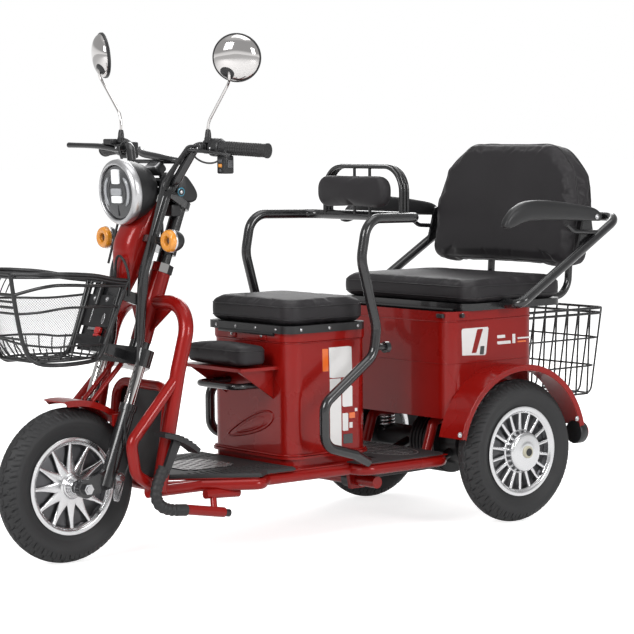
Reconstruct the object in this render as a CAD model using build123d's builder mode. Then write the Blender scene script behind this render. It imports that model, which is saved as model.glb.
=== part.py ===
from build123d import *
from math import cos, radians, sin, sqrt
import os

# Electric passenger tricycle: one steered wheel in front, two driven wheels behind, driver's seat,
# child's seat and rear bench, with wire baskets at both ends.
# Frame of the part: millimetres, +Z up, the front of the tricycle towards -Y, its left side towards +X,
# origin on the floor in the middle of the overall length and width.

os.makedirs("parts", exist_ok=True)

# ------------------------------------------------------------------ driving dimensions
WHEEL_BASE = 1180.0          # front axle to rear axle
REAR_TRACK = 568.0           # between the middles of the rear tyres
TYRE_OD = 366.0              # 3.00-8 tyre
TYRE_WIDTH = 80.0
RIM_SEAT_D = 203.0           # bead seat of an 8 inch rim
RIM_LIP_D = 229.0
RIM_WIDTH = 62.0
RIM_WALL = 5.0

BASKET_FRONT = 178.0         # front basket's rim ahead of the front axle
BASKET_REAR = 1626.0         # rear basket's rim behind the front axle

RAKE = 20.5                  # lean of the steering axis
AXIS_FOOT = 30.0             # where the steering axis meets the floor, behind the front axle
LEG_OFFSET = 38.0            # fork legs ahead of the steering axis
LEG_SPACING = 160.0          # between the middles of the fork legs
STANCHION_D = 27.0
LEG_D = 37.0
UPRIGHT_D = 25.0
UPRIGHT_SPACING = 118.0
UPRIGHT_OFFSET = 88.0        # handlebar uprights ahead of the steering axis
STEERER_D = 34.0
HEAD_TUBE_D = 50.0
AXLE_D = 15.0
REAR_SHAFT_D = 20.0
LEG_LOW = 180.0              # fork legs, clamp and head tube, measured along the steering axis
LEG_TOP = 380.0
LUG_THICK = 18.0
CLAMP_LOW = 472.0
CLAMP_TOP = 514.0
HEAD_LOW = 540.0
HEAD_TOP = 712.0

BAR_D = 22.0
BAR_HALF = 328.0             # middle of the tricycle to the end of a grip
GRIP_D = 33.0
MIRROR_D = 106.0

FRAME_TUBE = 36.0            # side hoops
GUARD_TUBE = 27.0
RIM_TUBE = 27.0              # tube round the footboards
FLOOR_Z = 168.0              # middle of the floor tubes
HOOP_HALF = 150.0            # side hoops from the middle
PAN_THICK = 3.0
FRONT_MAT_THICK = 10.0
REAR_MAT_THICK = 6.0

FRONT_BOX_WIDTH = 320.0
FRONT_BOX_FRONT = 545.0      # behind the front axle, like the other lengths below
FRONT_BOX_REAR = 800.0
FRONT_BOX_BOTTOM = 205.0
FRONT_BOX_TOP = 512.0
REAR_BOX_WIDTH = 470.0
REAR_BOX_FRONT = 1000.0
REAR_BOX_REAR = 1306.0
REAR_BOX_BOTTOM = 272.0
REAR_BOX_TOP = 544.0
BOX_WALL = 3.0

CUSHION_GAP = 0.3            # between a soft pad and what it lies on
DRIVER_PAD_WIDTH = 352.0
DRIVER_PAD_FRONT = 530.0
DRIVER_PAD_REAR = 800.0
DRIVER_PAD_THICK = 58.0
SEAT_PAN = 19.0
REAR_PAD_WIDTH = 532.0
REAR_PAD_FRONT = 1036.0
REAR_PAD_REAR = 1408.0
REAR_PAD_THICK = 56.0
BACK_PAD_THICK = 80.0
BACK_PAD_LEAN = 9.0

SIDE_TUBE = 25.0             # driver's armrests and the rear bench's frame
ARMREST_HALF = 235.0
BENCH_TUBE_HALF = 318.0

RUNNING = 0.05               # radial play of a shaft in its bore
NEAR_GAP = 0.3               # between separate pieces that lie close

# ------------------------------------------------------------------ places worked out from them
FRONT_AXLE = (BASKET_FRONT - BASKET_REAR) / 2
REAR_AXLE = FRONT_AXLE + WHEEL_BASE
AXLE_Z = TYRE_OD / 2
REAR_HALF = REAR_TRACK / 2


def back(distance):
    """The y coordinate of a point that far behind the front axle."""
    return FRONT_AXLE + distance


def spot(x, distance, z):
    """A point by its side offset, its distance behind the front axle and its height."""
    return Vector(x, FRONT_AXLE + distance, z)


STEER = Plane(
    origin=(0, back(AXIS_FOOT), 0),
    x_dir=(1, 0, 0),
    z_dir=(0, sin(radians(RAKE)), cos(radians(RAKE))),
)


def fork_spot(x, behind, along):
    """A point in the steering frame: side offset, distance behind the axis and distance along it."""
    return STEER.from_local_coords(Vector(x, behind, along))


def fork_plane(x, behind, along):
    """A plane square to the steering axis."""
    return Plane(origin=fork_spot(x, behind, along), x_dir=(1, 0, 0), z_dir=STEER.z_dir)


def fork_yz(behind, along):
    """The y and z of a point in the steering frame."""
    point = fork_spot(0, behind, along)
    return (point.Y, point.Z)


AXLE_SPOT = STEER.to_local_coords(Vector(0, FRONT_AXLE, AXLE_Z)).Y, STEER.to_local_coords(
    Vector(0, FRONT_AXLE, AXLE_Z)
).Z


def side_plane(x):
    """The plane of constant x, with y to the right and z up."""
    return Plane(origin=(x, 0, 0), x_dir=(0, 1, 0), z_dir=(1, 0, 0))


# ------------------------------------------------------------------ shared shapes
def bar(points, radii, diameter):
    """A round bar along straight runs joined by tangent bends."""
    with BuildPart() as rod:
        with BuildLine() as route:
            if len(points) == 2:
                Line(points[0], points[1])
            else:
                FilletPolyline(*points, radius=radii)
        path = route.wire()
        with BuildSketch(Plane(origin=path @ 0, z_dir=path % 0)):
            Circle(diameter / 2)
        sweep(path=path)
    return rod.part


def pipe(start, end, diameter, bore=0.0):
    """A straight round tube between two points."""
    direction = Vector(*end) - Vector(*start)
    with BuildPart() as tube:
        with BuildSketch(Plane(origin=start, z_dir=direction)):
            Circle(diameter / 2)
            if bore:
                Circle(bore / 2, mode=Mode.SUBTRACT)
        extrude(amount=direction.length)
    return tube.part


def across(points, radii, diameter):
    """A bar that runs through the middle plane, from the points of its left half, middle end first."""
    right = [(-point.X, point.Y, point.Z) for point in reversed(points)]
    return bar(right + [tuple(point) for point in points], list(reversed(radii)) + list(radii), diameter)


def rounded_block(x_size, y_range, z_range, corner, edge):
    """A block with rounded upright corners and softened top and bottom edges."""
    y_low, y_high = y_range
    z_low, z_high = z_range
    with BuildPart() as block:
        with BuildSketch(Plane(origin=(0, (y_low + y_high) / 2, z_low))):
            RectangleRounded(x_size, y_high - y_low, corner)
        extrude(amount=z_high - z_low)
        if edge:
            flat = block.faces().filter_by(Axis.Z)
            fillet(flat.edges(), edge)
    return block.part


def dome_middle(edge, radius, top):
    """The point half way out along a round dome's profile, from its edge (edge, radius) to (top, 0)."""
    centre = (top**2 - edge**2 - radius**2) / (2 * (top - edge))
    return (centre + sqrt((top - centre) ** 2 - radius**2 / 4), radius / 2)


# ------------------------------------------------------------------ wheels
def tyre(x, y):
    """A closed tyre: round crown, full sidewalls and beads behind the rim's lips."""
    crown = TYRE_OD / 2
    bead = RIM_SEAT_D / 2 + NEAR_GAP
    half = TYRE_WIDTH / 2
    foot = RIM_WIDTH / 2 - RIM_WALL - NEAR_GAP
    lip = RIM_LIP_D / 2
    with BuildPart() as solid:
        with BuildSketch(Plane.XY):
            with BuildLine():
                Polyline((-foot, lip + 4), (-foot, bead), (foot, bead), (foot, lip + 4))
                ThreePointArc((foot, lip + 4), (half, (lip + crown) / 2 + 2), (half * 0.72, crown - 16))
                ThreePointArc((half * 0.72, crown - 16), (0, crown), (-half * 0.72, crown - 16))
                ThreePointArc((-half * 0.72, crown - 16), (-half, (lip + crown) / 2 + 2), (-foot, lip + 4))
            make_face()
        revolve(axis=Axis.X)
    return Pos(x, y, AXLE_Z) * solid.part


def rim(spokes, spoke_root, spoke_tip, hub_d, hub_low, hub_high, side, x, y, bore):
    """A cast rim: well and lips, flat tapered spokes and a hub; side is +1 or -1, towards its face."""
    lip = RIM_LIP_D / 2
    seat = RIM_SEAT_D / 2
    half = RIM_WIDTH / 2
    root = hub_d / 2 - 12
    tip = seat - RIM_WALL / 2
    with BuildPart() as solid:
        with BuildSketch(Plane.XY):
            with BuildLine():
                Polyline(
                    (-half, lip), (-half + RIM_WALL, lip), (-half + RIM_WALL, seat),
                    (half - RIM_WALL, seat), (half - RIM_WALL, lip), (half, lip),
                    (half, seat - RIM_WALL), (-half, seat - RIM_WALL), close=True,
                )
            make_face()
        revolve(axis=Axis.X)
        with BuildSketch(Plane.YZ.offset(half - 16)):
            with PolarLocations(0, spokes):
                Polygon(
                    (root, -spoke_root / 2), (tip, -spoke_tip / 2),
                    (tip, spoke_tip / 2), (root, spoke_root / 2), align=None,
                )
        extrude(amount=11)
        with BuildSketch(Plane.YZ.offset(hub_low)):
            Circle(hub_d / 2)
        extrude(amount=hub_high - hub_low, taper=4)
        with BuildSketch(Plane.YZ.offset(hub_low - 1)):
            Circle(bore / 2)
        extrude(amount=hub_high - hub_low + 2, mode=Mode.SUBTRACT)
    turned = solid.part if side > 0 else mirror(solid.part, about=Plane.YZ)
    return Pos(x, y, AXLE_Z) * turned


# ------------------------------------------------------------------ wheels
front_tyre = tyre(0, FRONT_AXLE)
front_tyre.label = "front_tyre"
export_step(front_tyre, "parts/front_tyre.step")
front_rim = rim(12, 30, 17, 62, -52, 52, 1, 0, FRONT_AXLE, AXLE_D + 2 * RUNNING)
front_rim.label = "front_rim"
export_step(front_rim, "parts/front_rim.step")
rear_left_tyre = tyre(REAR_HALF, REAR_AXLE)
rear_left_tyre.label = "rear_left_tyre"
export_step(rear_left_tyre, "parts/rear_left_tyre.step")
rear_left_rim = rim(18, 13, 9, 112, -34, 50, 1, REAR_HALF, REAR_AXLE, REAR_SHAFT_D + 2 * RUNNING)
rear_left_rim.label = "rear_left_rim"
export_step(rear_left_rim, "parts/rear_left_rim.step")
rear_right_tyre = tyre(-REAR_HALF, REAR_AXLE)
rear_right_tyre.label = "rear_right_tyre"
export_step(rear_right_tyre, "parts/rear_right_tyre.step")
rear_right_rim = rim(18, 13, 9, 112, -34, 50, -1, -REAR_HALF, REAR_AXLE, REAR_SHAFT_D + 2 * RUNNING)
rear_right_rim.label = "rear_right_rim"
export_step(rear_right_rim, "parts/rear_right_rim.step")

# ------------------------------------------------------------------ fork
LEG_X = LEG_SPACING / 2
with BuildPart() as fork_legs:
    with BuildSketch(fork_plane(0, -LEG_OFFSET, LEG_LOW)):
        with Locations((LEG_X, 0), (-LEG_X, 0)):
            Circle(LEG_D / 2)
    extrude(amount=LEG_TOP - LEG_LOW)
    with BuildSketch(fork_plane(0, -LEG_OFFSET, LEG_TOP - 16)):
        with Locations((LEG_X, 0), (-LEG_X, 0)):
            Circle(LEG_D / 2 + 2.5)
    extrude(amount=16)
    for side in (1, -1):
        with BuildSketch(side_plane(side * LEG_X - LUG_THICK / 2)):
            with Locations(fork_yz(*AXLE_SPOT)):
                Circle(22)
            Polygon(
                fork_yz(AXLE_SPOT[0] - 6, AXLE_SPOT[1] + 21), fork_yz(-LEG_OFFSET - 4, LEG_LOW + 48),
                fork_yz(-LEG_OFFSET + 12, LEG_LOW + 30), fork_yz(-LEG_OFFSET + 14, LEG_LOW + 2),
                fork_yz(AXLE_SPOT[0] + 4, AXLE_SPOT[1] - 21), align=None,
            )
        extrude(amount=LUG_THICK)
    with BuildSketch(side_plane(-LEG_X - LUG_THICK)):
        with Locations(fork_yz(*AXLE_SPOT)):
            Circle(AXLE_D / 2 + RUNNING)
    extrude(amount=2 * LEG_X + 2 * LUG_THICK, mode=Mode.SUBTRACT)
fork_legs.part.label = "fork_legs"
export_step(fork_legs.part, "parts/fork_legs.step")

with BuildPart() as fork_chrome:
    with BuildSketch(fork_plane(0, -LEG_OFFSET, LEG_TOP)):
        with Locations((LEG_X, 0), (-LEG_X, 0)):
            Circle(STANCHION_D / 2)
    extrude(amount=CLAMP_TOP - LEG_TOP)
    with BuildSketch(fork_plane(0, 0, HEAD_TOP + NEAR_GAP)):
        RegularPolygon(HEAD_TUBE_D / 2 + 3, 8)
        Circle(STEERER_D / 2 + RUNNING, mode=Mode.SUBTRACT)
    extrude(amount=22)
fork_chrome.part.label = "fork_chrome"
export_step(fork_chrome.part, "parts/fork_chrome.step")

# front axle, its collars and nuts, and the brake arm behind the left leg
with BuildPart() as front_axle:
    with BuildSketch(side_plane(-LEG_X - 21)):
        with Locations((FRONT_AXLE, AXLE_Z)):
            Circle(AXLE_D / 2)
    extrude(amount=2 * LEG_X + 42)
    for low, high, size in ((52.4, LEG_X - LUG_THICK / 2, 13), (LEG_X + LUG_THICK / 2, LEG_X + 19, 13)):
        for side in (1, -1):
            with BuildSketch(side_plane(side * low)):
                with Locations((FRONT_AXLE, AXLE_Z)):
                    RegularPolygon(size, 6)
            extrude(amount=side * (high - low))
front_axle.part.label = "front_axle"
export_step(front_axle.part, "parts/front_axle.step")

BRAKE_PIVOT = (-22.0, 208.0)
BRAKE_END = (-14.0, 161.0)
with BuildPart() as front_brake:
    with BuildSketch(side_plane(LEG_X + LEG_D / 2 + 1)):
        with Locations(fork_yz(*BRAKE_PIVOT)):
            Circle(13)
        with Locations(fork_yz(*BRAKE_END)):
            Circle(8)
        Polygon(
            fork_yz(BRAKE_PIVOT[0] - 13, BRAKE_PIVOT[1]), fork_yz(BRAKE_PIVOT[0] + 13, BRAKE_PIVOT[1]),
            fork_yz(BRAKE_END[0] + 8, BRAKE_END[1]), fork_yz(BRAKE_END[0] - 8, BRAKE_END[1]), align=None,
        )
    extrude(amount=6)
    with BuildSketch(side_plane(LEG_X + 2)):
        with Locations(fork_yz(*BRAKE_PIVOT)):
            Circle(7)
    extrude(amount=LEG_D / 2 + 14)
    add(fork_legs.part, mode=Mode.SUBTRACT)
front_brake.part.label = "front_brake"
export_step(front_brake.part, "parts/front_brake.step")

# ------------------------------------------------------------------ steering column
BAR_BEHIND = -UPRIGHT_OFFSET
BAR_ALONG = 912.0
UP_X = UPRIGHT_SPACING / 2
PLATE_BEHIND = -132.0        # back of the front basket's rods
LENS = spot(0, 155, 869)
LAMP_TILT = 4.6
lamp_plane = Plane(
    origin=LENS, x_dir=(1, 0, 0),
    z_dir=(0, -cos(radians(LAMP_TILT)), -sin(radians(LAMP_TILT))),
)

with BuildPart() as headlight:
    with BuildSketch(Plane(origin=LENS, x_dir=lamp_plane.z_dir, z_dir=(1, 0, 0))):
        with BuildLine():
            Polyline(
                (-84, 0), (-84, 44), (-60, 62), (-26, 73), (-22, 78), (-4, 77), (0, 70), (0, 66), (-3, 65),
            )
            ThreePointArc((-3, 65), dome_middle(-3, 65, 6), (6, 0))
            Line((6, 0), (-84, 0))
        make_face()
    revolve(axis=Axis(LENS, lamp_plane.z_dir))
headlight.part.label = "headlight"
export_step(headlight.part, "parts/headlight.step")

with BuildPart() as steering_column:
    with BuildSketch(fork_plane(0, 0, CLAMP_LOW)):
        Circle(STEERER_D / 2)
    extrude(amount=BAR_ALONG - 24 - CLAMP_LOW)
    with BuildSketch(fork_plane(0, 0, CLAMP_TOP)):
        Circle(HEAD_TUBE_D / 2 - 1)
    extrude(amount=HEAD_LOW - NEAR_GAP - CLAMP_TOP)
    for side in (1, -1):
        add(bar(
            [
                fork_spot(side * UP_X, -46, CLAMP_TOP), fork_spot(side * UP_X, -46, CLAMP_TOP + 22),
                fork_spot(side * UP_X, BAR_BEHIND, 690), fork_spot(side * UP_X, BAR_BEHIND, BAR_ALONG),
            ],
            [40, 120], UPRIGHT_D,
        ))
    for low, high in ((760, 776), (876, 894)):
        with BuildSketch(fork_plane(0, 0, low)):
            Circle(25)
            Polygon(
                (-24, 4), (-UP_X - 17, BAR_BEHIND + 4), (-UP_X - 6, BAR_BEHIND - 17),
                (UP_X + 6, BAR_BEHIND - 17), (UP_X + 17, BAR_BEHIND + 4), (24, 4), align=None,
            )
        extrude(amount=high - low)
    with BuildSketch(fork_plane(0, BAR_BEHIND, 884)):
        with Locations((UP_X - 2, 0), (2 - UP_X, 0)):
            RectangleRounded(22, 38, 5)
    extrude(amount=BAR_ALONG + 19 - 884)
    with BuildSketch(Plane(origin=fork_spot(-120, BAR_BEHIND, BAR_ALONG), z_dir=(1, 0, 0))):
        Circle(BAR_D / 2 + RUNNING)
    extrude(amount=240, mode=Mode.SUBTRACT)
    with BuildSketch(fork_plane(0, BAR_BEHIND - 24, 878)):
        Rectangle(52, 40)
    extrude(amount=14)
    add(headlight.part, mode=Mode.SUBTRACT)
steering_column.part.label = "steering_column"
export_step(steering_column.part, "parts/steering_column.step")

with BuildPart() as fork_clamp:
    with BuildSketch(fork_plane(0, 0, CLAMP_LOW)):
        with BuildLine():
            CenterArc((LEG_X, -LEG_OFFSET), 24, -90, 180)
            CenterArc((-LEG_X, -LEG_OFFSET), 24, 90, 180)
            CenterArc((0, 0), 30, 0, 180)
            Line((-LEG_X, -LEG_OFFSET - 24), (LEG_X, -LEG_OFFSET - 24))
        make_hull()
        with Locations((LEG_X, -LEG_OFFSET), (-LEG_X, -LEG_OFFSET)):
            Circle(STANCHION_D / 2 + RUNNING, mode=Mode.SUBTRACT)
        Circle(STEERER_D / 2 + RUNNING, mode=Mode.SUBTRACT)
    extrude(amount=CLAMP_TOP - CLAMP_LOW)
    with BuildSketch(fork_plane(0, 0, CLAMP_LOW + 8)):
        with Locations((0, (PLATE_BEHIND - 58) / 2)):
            Rectangle(84, -58 - PLATE_BEHIND)
    extrude(amount=22)
    with BuildSketch(fork_plane(0, 0, CLAMP_LOW + 6)):
        with Locations((0, PLATE_BEHIND + 3)):
            Rectangle(112, 6)
    extrude(amount=640 - CLAMP_LOW)
    for side in (1, -1):
        with BuildSketch(fork_plane(side * 50, 0, 610)):
            with Locations((0, (PLATE_BEHIND - 80) / 2 + 2)):
                Rectangle(12, -80 - PLATE_BEHIND)
        extrude(amount=26)
    add(steering_column.part, mode=Mode.SUBTRACT)
fork_clamp.part.label = "fork_clamp"
export_step(fork_clamp.part, "parts/fork_clamp.step")

# ------------------------------------------------------------------ turn signals, panel, mudguard
with BuildPart() as turn_signals:
    for side in (1, -1):
        with BuildSketch(Plane(origin=spot(side * 133, 202, 751), x_dir=(0, 1, 0), z_dir=(1, 0, 0))):
            with BuildLine():
                Line((0, 0), (0, 22))
                Line((0, 22), (6, 24))
                Line((6, 24), (26, 24))
                ThreePointArc((26, 24), dome_middle(26, 24, 50), (50, 0))
                Line((50, 0), (0, 0))
            make_face()
        revolve(axis=Axis(spot(side * 133, 202, 751), (0, 1, 0)))
        with BuildSketch(side_plane(side * (UP_X + 4))):
            with Locations((back(224), 751)):
                Circle(8)
        extrude(amount=side * 60)
    add(steering_column.part, mode=Mode.SUBTRACT)
turn_signals.part.label = "turn_signals"
export_step(turn_signals.part, "parts/turn_signals.step")


def shield(inset):
    """The pointed cover between the uprights, made smaller all round by the inset."""
    with BuildPart() as cover:
        with BuildSketch(side_plane(-44 + inset)):
            with BuildLine():
                Polyline(fork_yz(-82, 622 + 2 * inset), fork_yz(-82, 856 - inset), fork_yz(-104, 850 - inset))
                ThreePointArc(
                    fork_yz(-104, 850 - inset), fork_yz(-140 + inset, 752), fork_yz(-104 + inset, 660),
                )
                Line(fork_yz(-104 + inset, 660), fork_yz(-82, 622 + 2 * inset))
            make_face()
        extrude(amount=88 - 2 * inset)
        with BuildSketch(Plane(origin=fork_spot(0, -70, 0), x_dir=(1, 0, 0), z_dir=-STEER.y_dir)):
            Polygon(
                (-44 + inset, 862), (-44 + inset, 735), (-7 + inset / 2, 618),
                (7 - inset / 2, 618), (44 - inset, 735), (44 - inset, 862), align=None,
            )
        extrude(amount=90, mode=Mode.INTERSECT)
    return cover.part


with BuildPart() as front_panel:
    add(shield(0))
    with BuildSketch(fork_plane(0, -84, 780)):
        Rectangle(94, 8)
    extrude(amount=24)
    add(steering_column.part, mode=Mode.SUBTRACT)
    add(Pos(*(STEER.y_dir * 3)) * shield(3), mode=Mode.SUBTRACT)
    add(headlight.part, mode=Mode.SUBTRACT)
front_panel.part.label = "front_panel"
export_step(front_panel.part, "parts/front_panel.step")

GUARD_IN = 199.0
GUARD_OUT = 202.5
GUARD_HALF = 43.0
GUARD_AHEAD = 82.0           # ends of the mudguard, in degrees back from straight ahead
GUARD_BEHIND = 138.0
GUARD_MIDDLE = (GUARD_AHEAD + GUARD_BEHIND) / 2


def on_wheel(radius, angle):
    """The y and z of a point round the front axle; the angle runs backward from straight ahead."""
    return (FRONT_AXLE - radius * cos(radians(angle)), AXLE_Z + radius * sin(radians(angle)))


with BuildPart() as front_mudguard:
    with BuildSketch(side_plane(-GUARD_HALF)):
        with BuildLine():
            ThreePointArc(
                on_wheel(GUARD_IN, GUARD_AHEAD),
                on_wheel(GUARD_IN, GUARD_MIDDLE),
                on_wheel(GUARD_IN, GUARD_BEHIND),
            )
            Line(on_wheel(GUARD_IN, GUARD_BEHIND), on_wheel(GUARD_OUT, GUARD_BEHIND))
            ThreePointArc(
                on_wheel(GUARD_OUT, GUARD_BEHIND), on_wheel(GUARD_OUT, GUARD_MIDDLE),
                on_wheel(GUARD_OUT, GUARD_AHEAD),
            )
            Line(on_wheel(GUARD_OUT, GUARD_AHEAD), on_wheel(GUARD_IN, GUARD_AHEAD))
        make_face()
    extrude(amount=2 * GUARD_HALF)
    lip = GUARD_IN - 11
    for side in (1, -1):
        with BuildSketch(side_plane(side * GUARD_HALF)):
            with BuildLine():
                ThreePointArc(
                    on_wheel(lip, GUARD_AHEAD + 3),
                    on_wheel(lip, GUARD_MIDDLE),
                    on_wheel(lip, GUARD_BEHIND - 2),
                )
                Line(on_wheel(lip, GUARD_BEHIND - 2), on_wheel(GUARD_OUT, GUARD_BEHIND))
                ThreePointArc(
                    on_wheel(GUARD_OUT, GUARD_BEHIND), on_wheel(GUARD_OUT, GUARD_MIDDLE),
                    on_wheel(GUARD_OUT, GUARD_AHEAD),
                )
                Line(on_wheel(GUARD_OUT, GUARD_AHEAD), on_wheel(lip, GUARD_AHEAD + 3))
            make_face()
        extrude(amount=-side * 3)
        with BuildSketch(side_plane(side * (GUARD_HALF - 2))):
            with Locations(fork_yz(-LEG_OFFSET - 4, 340)):
                Rectangle(34, 26)
        extrude(amount=side * 26)
        add(pipe(spot(side * 18, 66, 376), fork_spot(side * 18, -48, CLAMP_LOW), 12))
    add(fork_legs.part, mode=Mode.SUBTRACT)
    with BuildSketch(fork_plane(0, -48, CLAMP_LOW)):
        Rectangle(80, 40)
    extrude(amount=20, mode=Mode.SUBTRACT)
    with BuildSketch(side_plane(-60)):
        with Locations((FRONT_AXLE, AXLE_Z)):
            Circle(lip - 0.5)
    extrude(amount=120, mode=Mode.SUBTRACT)
front_mudguard.part.label = "front_mudguard"
export_step(front_mudguard.part, "parts/front_mudguard.step")

# ------------------------------------------------------------------ handlebar and what it carries
BAR_CORNER = (135.0, -96.0, 1001.0)
BAR_END = (BAR_HALF, -35.0, 1012.0)
bar_route = [
    (BAR_END[0], BAR_END[1], BAR_END[2]), BAR_CORNER, (84, BAR_BEHIND, BAR_ALONG),
    (-84, BAR_BEHIND, BAR_ALONG), (-BAR_CORNER[0], BAR_CORNER[1], BAR_CORNER[2]),
    (-BAR_END[0], BAR_END[1], BAR_END[2]),
]
with BuildPart() as handlebar:
    add(bar([fork_spot(*point) for point in bar_route], [30, 22, 22, 30], BAR_D))
    add(pipe(fork_spot(-114, -94, 962), fork_spot(114, -94, 962), 10))
handlebar.part.label = "handlebar"
export_step(handlebar.part, "parts/handlebar.step")


def hand_plane(side, along):
    """A plane square to the hand's part of the bar, that far from the bar's upper bend."""
    corner = fork_spot(side * BAR_CORNER[0], BAR_CORNER[1], BAR_CORNER[2])
    end = fork_spot(side * BAR_END[0], BAR_END[1], BAR_END[2])
    direction = (end - corner).normalized()
    return Plane(origin=corner + direction * along, x_dir=(0, 0, 1), z_dir=direction)


with BuildPart() as grips:
    for side in (1, -1):
        with BuildSketch(hand_plane(side, 76)):
            Circle(GRIP_D / 2)
        extrude(amount=130)
    add(pipe(hand_plane(1, 60).origin, hand_plane(1, 202.9).origin, BAR_D + 2 * NEAR_GAP), mode=Mode.SUBTRACT)
    bar_hole = pipe(hand_plane(-1, 60).origin, hand_plane(-1, 202.9).origin, BAR_D + 2 * NEAR_GAP)
    add(bar_hole, mode=Mode.SUBTRACT)
grips.part.label = "grips"
export_step(grips.part, "parts/grips.step")

with BuildPart() as controls:
    for side in (1, -1):
        with BuildSketch(hand_plane(side, 34)):
            with Locations((-2, 0)):
                RectangleRounded(40, 44, 12)
        extrude(amount=40)
        add(bar(
            [
                fork_spot(side * 186, -96, 998), fork_spot(side * 196, -124, 992),
                fork_spot(side * 240, -130, 988), fork_spot(side * 310, -133, 975),
            ],
            [12, 30], 10,
        ))
    with BuildSketch(Plane(origin=spot(0, 270, 925), x_dir=(1, 0, 0), z_dir=(0, -0.6, 0.8))):
        RectangleRounded(84, 60, 14)
    extrude(amount=24, both=True)
    with BuildSketch(Plane.XY.offset(800)):
        with Locations((5, back(318))):
            RectangleRounded(60, 46, 12)
    extrude(amount=84)
    add(handlebar.part, mode=Mode.SUBTRACT)
    add(steering_column.part, mode=Mode.SUBTRACT)
    add(headlight.part, mode=Mode.SUBTRACT)
controls.part.label = "controls"
export_step(controls.part, "parts/controls.step")

MIRROR_SPOT = spot(270, 312, 1182)
MIRROR_OUT = Vector(0.7, -0.7, -0.1).normalized()
with BuildPart() as one_mirror:
    with BuildSketch(Plane(origin=MIRROR_SPOT, x_dir=MIRROR_OUT, z_dir=MIRROR_OUT.cross(Vector(0, 0, 1)))):
        with BuildLine():
            Line((0, 0), (0, MIRROR_D / 2))
            Line((0, MIRROR_D / 2), (7, MIRROR_D / 2))
            ThreePointArc((7, MIRROR_D / 2), dome_middle(7, MIRROR_D / 2, 26), (26, 0))
            Line((26, 0), (0, 0))
        make_face()
    revolve(axis=Axis(MIRROR_SPOT, MIRROR_OUT))
    add(bar(
        [fork_spot(178, -96, 1012), spot(182, 292, 1010), spot(240, 300, 1124), spot(268, 306, 1162)],
        [20, 30], 9,
    ))
    add(controls.part, mode=Mode.SUBTRACT)
    add(handlebar.part, mode=Mode.SUBTRACT)
with BuildPart() as mirrors:
    add(one_mirror.part)
    mirror(about=Plane.YZ)
mirrors.part.label = "mirrors"
export_step(mirrors.part, "parts/mirrors.step")

with BuildPart() as brake_cable:
    add(bar(
        [
            fork_spot(172, -100, 1000), fork_spot(150, -128, 990), fork_spot(88, -126, 900),
            fork_spot(84, -104, 640), fork_spot(110, -66, 470), fork_spot(113, -60, 330),
            fork_spot(104.5, -8, 250), fork_spot(102.5, BRAKE_END[0], BRAKE_END[1]),
        ],
        [14, 30, 60, 40, 60, 40], 6,
    ))
    add(controls.part, mode=Mode.SUBTRACT)
    add(handlebar.part, mode=Mode.SUBTRACT)
    add(front_brake.part, mode=Mode.SUBTRACT)
brake_cable.part.label = "brake_cable"
export_step(brake_cable.part, "parts/brake_cable.step")

# ------------------------------------------------------------------ front basket
ROD = 6.0
HOOP_ROD = 6.8
BASKET_LOW = 480.0
BASKET_RIM = 690.0


def basket_back(height):
    """How far behind the front axle the basket's back wall is at that height."""
    return AXIS_FOOT + (PLATE_BEHIND - HOOP_ROD / 2 + height * sin(radians(RAKE))) / cos(radians(RAKE))


def basket_outline(height):
    """The corners of the front basket at that height: it widens and leans forward going up."""
    share = (height - BASKET_LOW) / (BASKET_RIM - BASKET_LOW)
    back_half = 64 + 18 * share
    side_half = 104 + 48 * share
    side_at = -70 - 34 * share
    front_half = 66 + 34 * share
    front_at = -118 - (BASKET_FRONT - ROD / 2 - 118) * share
    return [
        spot(-back_half, basket_back(height), height), spot(back_half, basket_back(height), height),
        spot(side_half, side_at, height), spot(front_half, front_at, height),
        spot(-front_half, front_at, height), spot(-side_half, side_at, height),
    ]


def ring_wire(points, radii):
    """A closed run of straights and tangent bends."""
    with BuildLine() as route:
        FilletPolyline(*points, radius=radii, close=True)
    return route.wire()


def ring(points, radii, diameter):
    """A round bar along a closed run."""
    path = ring_wire(points, radii)
    with BuildPart() as rod:
        with BuildSketch(Plane(origin=path @ 0, z_dir=path % 0)):
            Circle(diameter / 2)
        sweep(path=path)
    return rod.part


basket_bends = [18, 18, 34, 44, 44, 34]
low_wire = ring_wire(basket_outline(BASKET_LOW), basket_bends)
rim_wire = ring_wire(basket_outline(BASKET_RIM), basket_bends)
with BuildPart() as front_basket:
    for x in (-55, -28, 0, 28, 55):
        add(bar(
            [
                spot(x, basket_back(BASKET_RIM - 2), BASKET_RIM - 2),
                spot(x, basket_back(BASKET_LOW - 1), BASKET_LOW - 1),
                spot(x, -119, BASKET_LOW - 1), spot(x, -BASKET_FRONT + ROD / 2 + 1.5, BASKET_RIM - 1),
            ],
            [20, 20], HOOP_ROD,
        ))
    for height in (BASKET_LOW, 535, 590, 640, 668, BASKET_RIM):
        add(ring([point - Vector(0, 1, 0) for point in basket_outline(height)], basket_bends, ROD))
    POSTS = 22
    for number in range(POSTS):
        share = (number + 0.5) / POSTS
        if number not in (6, 8, 17, 19):
            add(pipe(low_wire @ share, rim_wire @ share - Vector(0, 0, 1.5), ROD - 1))
front_basket.part.label = "front_basket"
export_step(front_basket.part, "parts/front_basket.step")

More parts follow.
